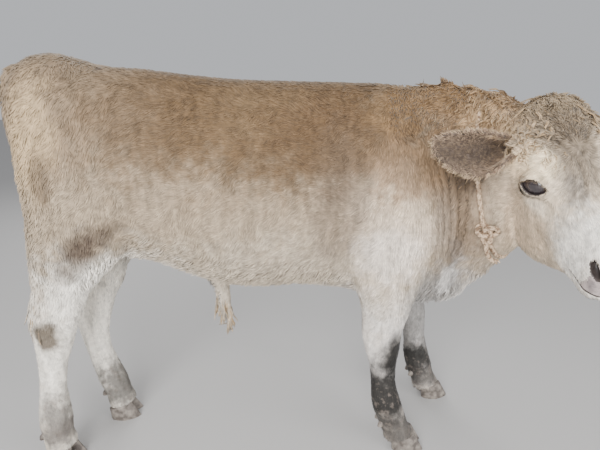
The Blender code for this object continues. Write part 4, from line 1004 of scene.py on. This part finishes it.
def rope_gap(spots):
    """How far points of the neck are from the collar's middle line."""
    far = np.full(len(spots), 1.0)
    near = np.nonzero((spots[:, 0] > 0.30) & (spots[:, 0] < 0.60))[0]
    for batch in np.array_split(near, max(1, len(near) // 4000)):
        off = spots[batch][:, None] - loop[None]
        far[batch] = np.sqrt((off**2).sum(axis=2)).min(axis=1)
    return far


def eye_gap(spots):
    """How far points of the face are from the nearer eye's opening."""
    gap = np.full(len(spots), 1.0)
    for side, sign in SIDES:
        x, y, z, almond = slit_place(spots, side, sign)
        off = np.hypot(np.maximum(x - SLIT_HALF[0], 0), np.maximum(y - almond, 0))
        gap = np.where((z > EYE_BACK) & (off < gap), off, gap)
    return gap


def shagginess(spots, surface, heads):
    """Where the hair is long and stands off: belly, flank edge, buttocks and throat."""
    x, _, z = spots.T
    belly = ramp(surface[:, 2], -0.35, -0.75) * ramp(z, 0.42, 0.47)
    rear = ramp(x, -0.60, -0.70) * ramp(z, 0.50, 0.58) * ramp(-surface[:, 0], 0.2, 0.7)
    throat = ramp(x, 0.20, 0.30) * ramp(surface[:, 2], 0.0, -0.6)
    return np.clip(belly + 0.3 * rear + 0.12 * throat, 0, 1) * (1 - 0.6 * heads)


TRUNK_LENGTH, FACE_LENGTH = 0.0165, 0.0125
EAR_LENGTH, CUP_LENGTH, LEAST_LENGTH = 0.010, 0.012, 0.004


def length_of(spots, surface, heads, ears, slot):
    """The length of each tuft: short on face and legs, longer on neck and belly."""
    x, _, z = spots.T
    long = TRUNK_LENGTH + 0.004 * ramp(x, 0.05, 0.20) + 0.008 * shagginess(spots, surface, heads)
    long = long - 0.0065 * ramp(z, 0.50, 0.40) - 0.003 * ramp(z, 0.20, 0.12)
    long += 0.002 * ramp(x, 0.16, 0.26) * ramp(z, 0.93, 0.99) * (heads < 0.3)
    local = to_head(spots)
    face = FACE_LENGTH - 0.005 * ramp(local[:, 0], 0.5, 0.95)
    face += 0.010 * np.exp(-((local[:, 0] - 0.03) / 0.12) ** 2) * (local[:, 1] > -0.05)
    long = long * (1 - heads) + face * heads
    long = np.where(ears >= 0, EAR_LENGTH, long)
    long = np.where(slot == 3, CUP_LENGTH, long)
    return np.maximum(long, LEAST_LENGTH) * chance.uniform(0.75, 1.25, len(spots))


UNWRAP_FACES = 9000


def unwrap_of(piece):
    """A coarse unwrapped copy of a surface: its search tree, corners and UVs.

    On it each tuft's colours have a small patch of their own.
    """
    coarse = piece.copy()
    coarse.data = piece.data.copy()
    bpy.context.scene.collection.objects.link(coarse)
    thin = coarse.modifiers.new("thin", "DECIMATE")
    thin.ratio = UNWRAP_FACES / max(len(coarse.data.polygons), 1)
    apply_all(coarse)
    bpy.ops.object.mode_set(mode="EDIT")
    bpy.ops.mesh.select_all(action="SELECT")
    bpy.ops.uv.smart_project(angle_limit=math.radians(66), island_margin=0.002)
    bpy.ops.object.mode_set(mode="OBJECT")
    shape = bmesh.new()
    shape.from_mesh(coarse.data)
    bmesh.ops.triangulate(shape, faces=shape.faces)
    shape.faces.ensure_lookup_table()
    layer = shape.loops.layers.uv.active
    places = np.array([[loop.vert.co for loop in face.loops] for face in shape.faces])
    flat = np.array([[loop[layer].uv for loop in face.loops] for face in shape.faces])
    tree = BVHTree.FromBMesh(shape)
    shape.free()
    bpy.data.objects.remove(coarse)
    return tree, places, flat


def on_unwrap(spots):
    """The unwrap's UV at the nearest place of the surface to each point."""
    tree, places, flat = UNWRAP
    found, near = np.zeros(len(spots), int), np.zeros((len(spots), 3))
    for index, spot in enumerate(spots.tolist()):
        hit = tree.find_nearest(spot)
        found[index] = hit[2]
        near[index] = hit[0]
    a, b, c = (places[found, k] for k in range(3))
    v0, v1, v2 = b - a, c - a, near - a
    d00, d01, d11 = (v0 * v0).sum(1), (v0 * v1).sum(1), (v1 * v1).sum(1)
    d20, d21 = (v2 * v0).sum(1), (v2 * v1).sum(1)
    under = d00 * d11 - d01 * d01 + 1e-20
    second = np.clip((d11 * d20 - d01 * d21) / under, 0, 1)
    third = np.clip((d00 * d21 - d01 * d20) / under, 0, 1)
    first = np.clip(1 - second - third, 0, 1)
    return (flat[found] * np.stack([first, second, third], axis=1)[:, :, None]).sum(axis=1)


UNWRAP = unwrap_of(skin)
UV_REACH = 0.0015


def strands(name, paths, surface, widths, soft, material, tone):
    """Three-sided hairs that taper to a point, one along each row of places.

    The hairs are lit in part as the skin under them is, by the share soft, so that the
    coat reads as one soft surface. Each has the tone it is given, darker at its root; on
    the coat it holds painted shade in the creases and painted light and shade on the brow's
    ridges.
    """
    n, m = paths.shape[:2]
    ahead = np.gradient(paths, axis=1)
    across = np.cross(surface[:, None], ahead)
    across /= np.linalg.norm(across, axis=2)[:, :, None] + 1e-12
    up = np.cross(ahead, across)
    up /= np.linalg.norm(up, axis=2)[:, :, None] + 1e-12
    half = widths[:, :, None] / 2
    rings = np.stack([paths - across * half, paths + across * half, paths + 0.85 * up * half],
                     axis=2)[:, :-1]
    verts = np.concatenate([rings.reshape(n, -1, 3), paths[:, -1:]], axis=1)
    own = np.stack([-across, across, up], axis=2)[:, :-1].reshape(n, -1, 3)
    own = np.concatenate([own, up[:, -1:]], axis=1)
    soft = np.broadcast_to(soft, n)[:, None, None]
    shaded = soft * surface[:, None] + (1 - soft) * own
    shaded /= np.linalg.norm(shaded, axis=2)[:, :, None]
    per, last = 3 * (m - 1) + 1, 3 * (m - 1)
    faces = [(3 * k + a, 3 * k + b, 3 * k + 3 + b, 3 * k + 3 + a)
             for k in range(m - 2) for a, b in ((0, 1), (1, 2), (2, 0))]
    faces += [(last - 3 + a, last - 3 + b, last) for a, b in ((0, 1), (1, 2), (2, 0))]
    faces.append((0, 2, 1))
    sizes = np.tile([len(face) for face in faces], n)
    corners = np.array([corner for face in faces for corner in face])
    loops = (corners[None] + (np.arange(n) * per)[:, None]).ravel()
    mesh = bpy.data.meshes.new(name)
    mesh.vertices.add(per * n)
    mesh.vertices.foreach_set("co", verts.ravel())
    mesh.loops.add(len(loops))
    mesh.loops.foreach_set("vertex_index", loops)
    mesh.polygons.add(len(sizes))
    mesh.polygons.foreach_set("loop_start", np.concatenate([[0], np.cumsum(sizes)[:-1]]))
    mesh.polygons.foreach_set("use_smooth", np.ones(len(sizes), bool))
    mesh.update(calc_edges=True)
    if soft.max() > 0:
        mesh.normals_split_custom_set_from_vertices(shaded.reshape(-1, 3))
    paler = np.append(np.repeat(np.linspace(0.86, 1.08, m)[:-1], 3), 1.08)
    own_tone = mesh.attributes.new("tone", "FLOAT", "POINT")
    own_tone.data.foreach_set("value", (tone[:, None] * paler[None]).ravel())
    along = np.append(np.repeat(np.linspace(-1, 1, m)[:-1], 3), 1.0)
    beside = np.append(np.tile([-1.0, 1.0, 0.0], m - 1), 0.0)
    step = UV_REACH * np.stack([beside, along], axis=1)
    corner_uv = (on_unwrap(paths[:, 0])[:, None] + step[None]).reshape(-1, 2)
    layer = mesh.uv_layers.new(name="OFBake")
    layer.uv.foreach_set("vector", corner_uv[loops].ravel())
    mesh.materials.append(material)
    piece = bpy.data.objects.new(name, mesh)
    bpy.context.scene.collection.objects.link(piece)
    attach(piece, "root")
    return piece


def bent_paths(roots, surface, ways, long, lift, places):
    """Places along short hairs that leave the skin and bend over along it."""
    part = np.linspace(0, 1, places)[None, :, None]
    tall = (long * lift)[:, None, None]
    height = tall * (2 * part - part**2) - 0.0011 * (1 - part)
    return (roots[:, None] + ways[:, None] * (part - 0.10) * long[:, None, None]
            + surface[:, None] * height)


FEWER = 1.0
BROADER = 1.0
TUFT_WIDE, WIDE_BY_LENGTH = 0.0021, 0.064
ROPE_BARE_BELOW = 0.835
gap = spacing_of(triangle_middle, triangle_head, triangle_ear)
share = triangle_area / gap**2
share[(triangle_slot == 1) | (triangle_slot == 2)] = 0
collar_near = rope_gap(triangle_middle)
bare_rope = triangle_middle[:, 2] < ROPE_BARE_BELOW
share *= np.where(bare_rope, smooth_step(collar_near, 0.0100, 0.0160), 1.0)
roots, surface, picked = sampled(share, int(share.sum() * FEWER))
root_head = head_part(roots)
root_ear = triangle_ear[picked]
root_slot = triangle_slot[picked]
root_local = to_head(roots)
eared = root_ear >= 0
off_head = root_head <= 0.5
lie = lie_of(roots, surface, root_head, root_ear)
long = length_of(roots, surface, root_head, root_ear, root_slot)
crease = crease_of(roots, surface) * (1 - root_head) / 0.0035
long *= 1 - 0.45 * np.clip(crease, 0, 1)
long *= 0.35 + 0.65 * smooth_step(rope_gap(roots), 0.012, 0.034)
long *= 0.3 + 0.7 * smooth_step(eye_gap(roots), 0.001, 0.016)
lips = (np.abs(lip_gap(root_local)) < 0.014) & (root_local[:, 0] > 0.74)
long[lips & ~off_head] *= 0.5
tone = chance.normal(0, 1, len(roots)) * (0.11 + 0.05 * root_head)
tone += 1 + 0.06 * waves(roots, 0.030, 9)
# The brow's ridges are lighter and the hollows between them darker: painted light and shade,
# beside the ridges' real relief.
brow = brow_waves(root_local) * root_head
tone *= 1 + 0.42 * brow
long *= 1 + 0.25 * brow
# Tufts in the creases of neck and brisket are darkened, more on the neck: painted shade.
shade = np.where(roots[:, 2] > 0.60, 0.58, 0.28)
tone = np.clip(tone * (1 - shade * np.clip(crease, 0, 1)), 0.45, 1.4)
lift = (chance.uniform(0.10, 0.22, len(roots)) * (1 + 0.3 * root_head)
        + 0.45 * shagginess(roots, surface, root_head) * chance.uniform(0.3, 1.0, len(roots)))
softness = (0.58 - 0.14 * root_head) * smooth_step(lift, 0.40, 0.25)
softness[(long > 0.026) | (~off_head & (long > 0.0165))] = 0
edge = np.where(eared, ear_edge(roots, root_ear)[0], 0.0)
pale_rim = edge > chance.uniform(0.86, 1.12, len(roots))
long[pale_rim] *= 0.95
lift[pale_rim] += 0.03
softness[eared] = 0.35
tone[eared & ~pale_rim] *= 0.75 + 2.0 * edge[eared & ~pale_rim] ** 2
crest = off_head & ~eared & (roots[:, 0] > 0.14) & (roots[:, 2] > 0.93)
poll = ~off_head & ~eared & (root_local[:, 0] < 0.28)
poll &= root_local[:, 1] > -0.08
softness[crest | poll] = 0
LEG_TOP = 0.45
NECK_START = 0.16
trunk = off_head & (roots[:, 2] >= LEG_TOP) & ~eared
zones = [
    ("head_coat", ~off_head & ~eared & ~poll, "face_hide", 2, COAT_HAIR),
    ("poll_coat", poll, "face_hide", 3, COAT_HAIR),
    ("crest_coat", crest, "neck_hide", 3, COAT_HAIR),
    ("leg_coat", off_head & (roots[:, 2] < LEG_TOP), "fore_leg_hide", 2, COAT_HAIR),
    ("neck_coat", trunk & ~crest & (roots[:, 0] > NECK_START), "neck_hide", 3, COAT_HAIR),
    ("body_coat", trunk & ~crest & (roots[:, 0] <= NECK_START), "body_hide", 3, COAT_HAIR),
    ("ear_coat", eared & (root_slot != 3) & ~pale_rim, "ear_hide", 3, COAT_HAIR),
    ("ear_down", eared & (root_slot == 3) & ~pale_rim, "ear_hide", 3, EAR_DOWN),
    ("ear_rim", eared & pale_rim, "ear_hide", 3, RIM_HAIR),
]
for zone, inside, slot, places, material in zones:
    members = np.nonzero(inside)[0]
    members = members[np.argsort(roots[members, 0], kind="stable")]
    faces_each = 6 * places - 8
    batches = max(1, math.ceil(len(members) * faces_each / PIECE_FACES))
    for number, batch in enumerate(np.array_split(members, batches)):
        paths = bent_paths(roots[batch], surface[batch], lie[batch], long[batch],
                           lift[batch], places)
        wide = (TUFT_WIDE + WIDE_BY_LENGTH * long[batch]) * BROADER
        wide *= np.where(eared[batch], 0.55, 1.0)
        taper = np.array([1.0, 0.95, 0.0] if places == 3 else [1.0, 0.0])
        strands(f"{zone}_{number + 1}", paths, surface[batch], wide[:, None] * taper,
                softness[batch], material, tone[batch])


# Long hair in wavy locks: each lock is a few strands that bend alike. It covers the
# crest and the ears' roots, falls over the forehead, and ends the tail and the sheath.
def lock_paths(starts, surface, ways, long, rise, droop, wave, turns, places):
    """Places along wavy strands that rise off the skin, curl and then hang."""
    part = np.linspace(0, 1, places)[None, :, None]
    across = np.cross(surface, ways)[:, None]
    size = long[:, None, None]
    phase = chance.uniform(0, 2 * math.pi, len(starts))[:, None, None]
    swing = wave * size * np.sin(2 * math.pi * turns * part + phase) * part**0.6
    heave = 0.5 * wave * size * np.cos(2 * math.pi * turns * part + phase) * part
    return (starts[:, None] + ways[:, None] * size * part * (1 - 0.12 * part)
            + surface[:, None] * (rise * size * np.sin(math.pi * 0.62 * part) + heave
                                  - 0.002 * (1 - part))
            + across * swing + np.array([0, 0, -1.0]) * droop * size * part**2)


LOCK_PLACES = 8


def long_locks(name, share, count, each, size, way, rise, droop, wave, turns, wide,
               pale=0.0, spread=0.32):
    """Locks rooted on the skin by a share of its triangles, each of a few strands."""
    count = max(6, int(count * (1.0)))
    starts, surface, _ = sampled(share * triangle_area, count)
    ways = laid(way(starts), surface)
    turn = chance.normal(0, spread, count)[:, None]
    ways = ways * np.cos(turn) + np.cross(surface, ways) * np.sin(turn)
    long = size * chance.uniform(0.7, 1.2, count)
    paths = lock_paths(starts, surface, ways, long, rise, droop, wave, turns,
                       LOCK_PLACES)
    across = np.cross(surface, ways)
    rows, tops = [], []
    for k in range(each):
        apart = (k - (each - 1) / 2) * wide * 0.62
        close = np.linspace(1.0, 0.45, LOCK_PLACES)[None, :, None]
        nudge = across[:, None] * apart * close
        nudge = nudge + surface[:, None] * chance.normal(0, 0.0009, (count, 1, 1))
        stretch = chance.uniform(0.82, 1.0, (count, 1, 1))
        rows.append(paths[:, :1] + (paths - paths[:, :1]) * stretch + nudge)
        tops.append(surface)
    rows, tops = np.concatenate(rows), np.concatenate(tops)
    taper = wide * np.array([0.75, 1.0, 1.05, 1.0, 0.9, 0.75, 0.5, 0.0])
    order = chance.permutation(len(rows))
    light = order[:int(len(rows) * pale)]
    plain = order[int(len(rows) * pale):]
    tone = np.tile(chance.normal(1.0, 0.13, count), each) + chance.normal(0, 0.06, count * each)
    strands(name, rows[plain], tops[plain], np.tile(taper, (len(plain), 1)), 0, COAT_HAIR,
            tone[plain])
    if len(light):
        strands(name + "_pale", rows[light], tops[light], np.tile(taper, (len(light), 1)),
                0, PALE_HAIR, tone[light])


tx, ty, tz = triangle_middle.T
t_local = to_head(triangle_middle)
trunk_side = (triangle_ear < 0) & (triangle_head < 0.35)
crest_share = trunk_side * ramp(tx, 0.20, 0.30) * ramp(tz, 0.90, 0.97)


def down_the_side(at):
    """Down the near slope of the crest and a little back."""
    return np.tile([-0.35, 0.0, -0.90], (len(at), 1))


def straight_down(at):
    """The way that hair hangs on the switch and the sheath."""
    return np.tile([0, 0, -1.0], (len(at), 1))


def on_both_sides(ahead, ahead_reach, out, out_reach):
    """A soft spot on each side of the head, as a share for each triangle."""
    fore = ((t_local[:, 0] - ahead) / ahead_reach) ** 2
    return np.exp(-fore - ((np.abs(t_local[:, 2]) - out) / out_reach) ** 2)


long_locks("crest_locks", crest_share, 420, 4, 0.042, down_the_side, 0.02, 0.10, 0.08, 1.1,
           0.0026, pale=0.15)
over_rope = trunk_side * (collar_near < 0.032) * (tz > 0.83) * (collar_near > 0.004)


def over_the_rope(at):
    """Down and back, across the collar."""
    return np.tile([-0.75, 0.0, -0.65], (len(at), 1)) + 0.4 * down_the_side(at)


long_locks("collar_locks", over_rope, 360, 4, 0.050, over_the_rope, 0.20, 0.12, 0.08, 1.0,
           0.0028, pale=0.15)
near_ear = (trunk_side | (t_local[:, 0] < 0.20)) * (triangle_ear < 0)
near_ear = near_ear * on_both_sides(0.08, 0.09, 0.21, 0.07) * (t_local[:, 1] > -0.16)
long_locks("ear_root_locks", near_ear, 230, 5, 0.044,
           lambda at: 0.45 * np.sign(to_head(at)[:, 2:]) * HEAD_RIGHT + HEAD_AHEAD
           + np.array([0, 0, -0.5]), 0.30, 0.20, 0.13, 1.1, 0.0026, pale=0.60)
ear_foot = (triangle_ear < 0) * on_both_sides(0.185, 0.055, 0.185, 0.04)
long_locks("ear_foot_locks", ear_foot, 150, 5, 0.030,
           lambda at: np.sign(to_head(at)[:, 2:]) * HEAD_RIGHT + 0.3 * HEAD_UP,
           0.34, 0.05, 0.10, 0.8, 0.0022, pale=0.45)
poll_share = (np.exp(-((t_local[:, 0] - 0.06) / 0.09) ** 2 - (t_local[:, 2] / 0.15) ** 2)
              * (t_local[:, 1] > -0.06) * (triangle_ear < 0))
long_locks("poll_locks", poll_share, 260, 4, 0.024,
           lambda at: np.tile(HEAD_AHEAD, (len(at), 1))
           - 0.9 * to_head(at)[:, 2:] * HEAD_RIGHT, 0.20, 0.05, 0.12, 0.8, 0.0022,
           pale=0.10)
temple_share = (triangle_ear < 0) * on_both_sides(0.27, 0.10, 0.15, 0.07)
long_locks("temple_locks", temple_share * (t_local[:, 1] > -0.12), 170, 4, 0.022,
           lambda at: HEAD_AHEAD + 0.5 * np.sign(to_head(at)[:, 2:]) * HEAD_RIGHT,
           0.10, 0.02, 0.12, 1.0, 0.0016, pale=0.40)
switch_low, switch_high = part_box("tail_switch")
on_switch = (tx < -0.76) & (tz < switch_high[2]) & (tz > switch_low[2] + 0.05)
long_locks("switch_locks", on_switch * 1.0, 110, 5, 0.060, straight_down, 0.03, 0.02, 0.03,
           1.3, 0.0028, pale=0.4, spread=0.10)
sheath_low, sheath_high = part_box("sheath")
on_sheath = ((tx > sheath_low[0]) & (tx < sheath_high[0]) & (np.abs(ty - 0.127) < 0.03)
             & (tz < sheath_low[2] + 0.11))
long_locks("sheath_locks", on_sheath * 1.0, 110, 5, 0.050, straight_down, 0.04, 0.02, 0.04,
           1.0, 0.0024, pale=0.3, spread=0.16)


# Lashes: a row of short stiff brown hairs along the edge of each upper lid, bent down
# a little at their tips. They grow outward from the rim of the lid.
LASHES = 40
for side, sign in SIDES:
    axes = eye_axes(sign)
    spread = np.linspace(-0.88, 0.92, LASHES)
    rim = np.stack([SLIT_HALF[0] * spread, SLIT_HALF[1] * (1 - spread**2) + 0.0005,
                    0.021 * np.sqrt(1 - 0.45 * spread**2)], axis=1)
    starts = eyes[side] + rim @ axes
    tops = np.tile(axes[1], (LASHES, 1))
    ways = np.stack([0.5 * spread, 0 * spread - 0.10, 0 * spread + 1.0], axis=1) @ axes
    long = chance.uniform(0.009, 0.015, LASHES)
    paths = lock_paths(starts, tops, laid(ways, tops), long, 0.10, 0.30, 0.02, 0.5, 5)
    widths = np.tile(np.array([1, 1, 0.8, 0.5, 0]) * 0.0006, (LASHES, 1))
    strands("lashes_" + side, paths, tops, widths, 0, PALE_HAIR,
            np.full(LASHES, 0.55))


# The floor and the light: a pale plain floor, a broad soft light from the front, a
# weaker one from the head's end and one from behind.
bpy.ops.object.select_all(action="DESELECT")
bpy.ops.mesh.primitive_plane_add(size=30.0, location=(0, 0, 0))
floor = bpy.context.active_object
floor.name = "floor"
pale = bpy.data.materials.new("pale_floor")
pale.use_nodes = True
pale.node_tree.nodes["Principled BSDF"].inputs["Base Color"].default_value = (0.42, 0.41, 0.40, 1)
pale.node_tree.nodes["Principled BSDF"].inputs["Roughness"].default_value = 0.9
floor.data.materials.append(pale)


def soft_light(name, place, aim, size, power):
    """A square area light turned to a point."""
    lamp = bpy.data.lights.new(name, "AREA")
    lamp.size = size
    lamp.energy = power
    thing = bpy.data.objects.new(name, lamp)
    thing.location = place
    thing.rotation_euler = (Vector(aim) - Vector(place)).to_track_quat("-Z", "Y").to_euler()
    bpy.context.scene.collection.objects.link(thing)


soft_light("key", (-1.2, -3.3, 1.9), (-0.1, 0, 0.7), 2.6, 270.0)
soft_light("fill", (2.6, -2.4, 1.4), (0.2, 0, 0.7), 2.5, 105.0)
soft_light("back", (-0.5, 3.0, 2.8), (0, 0, 0.8), 2.5, 90.0)
world = bpy.data.worlds.new("studio")
world.use_nodes = True
world.node_tree.nodes["Background"].inputs["Color"].default_value = (0.80, 0.82, 0.86, 1)
world.node_tree.nodes["Background"].inputs["Strength"].default_value = 0.70
bpy.context.scene.world = world
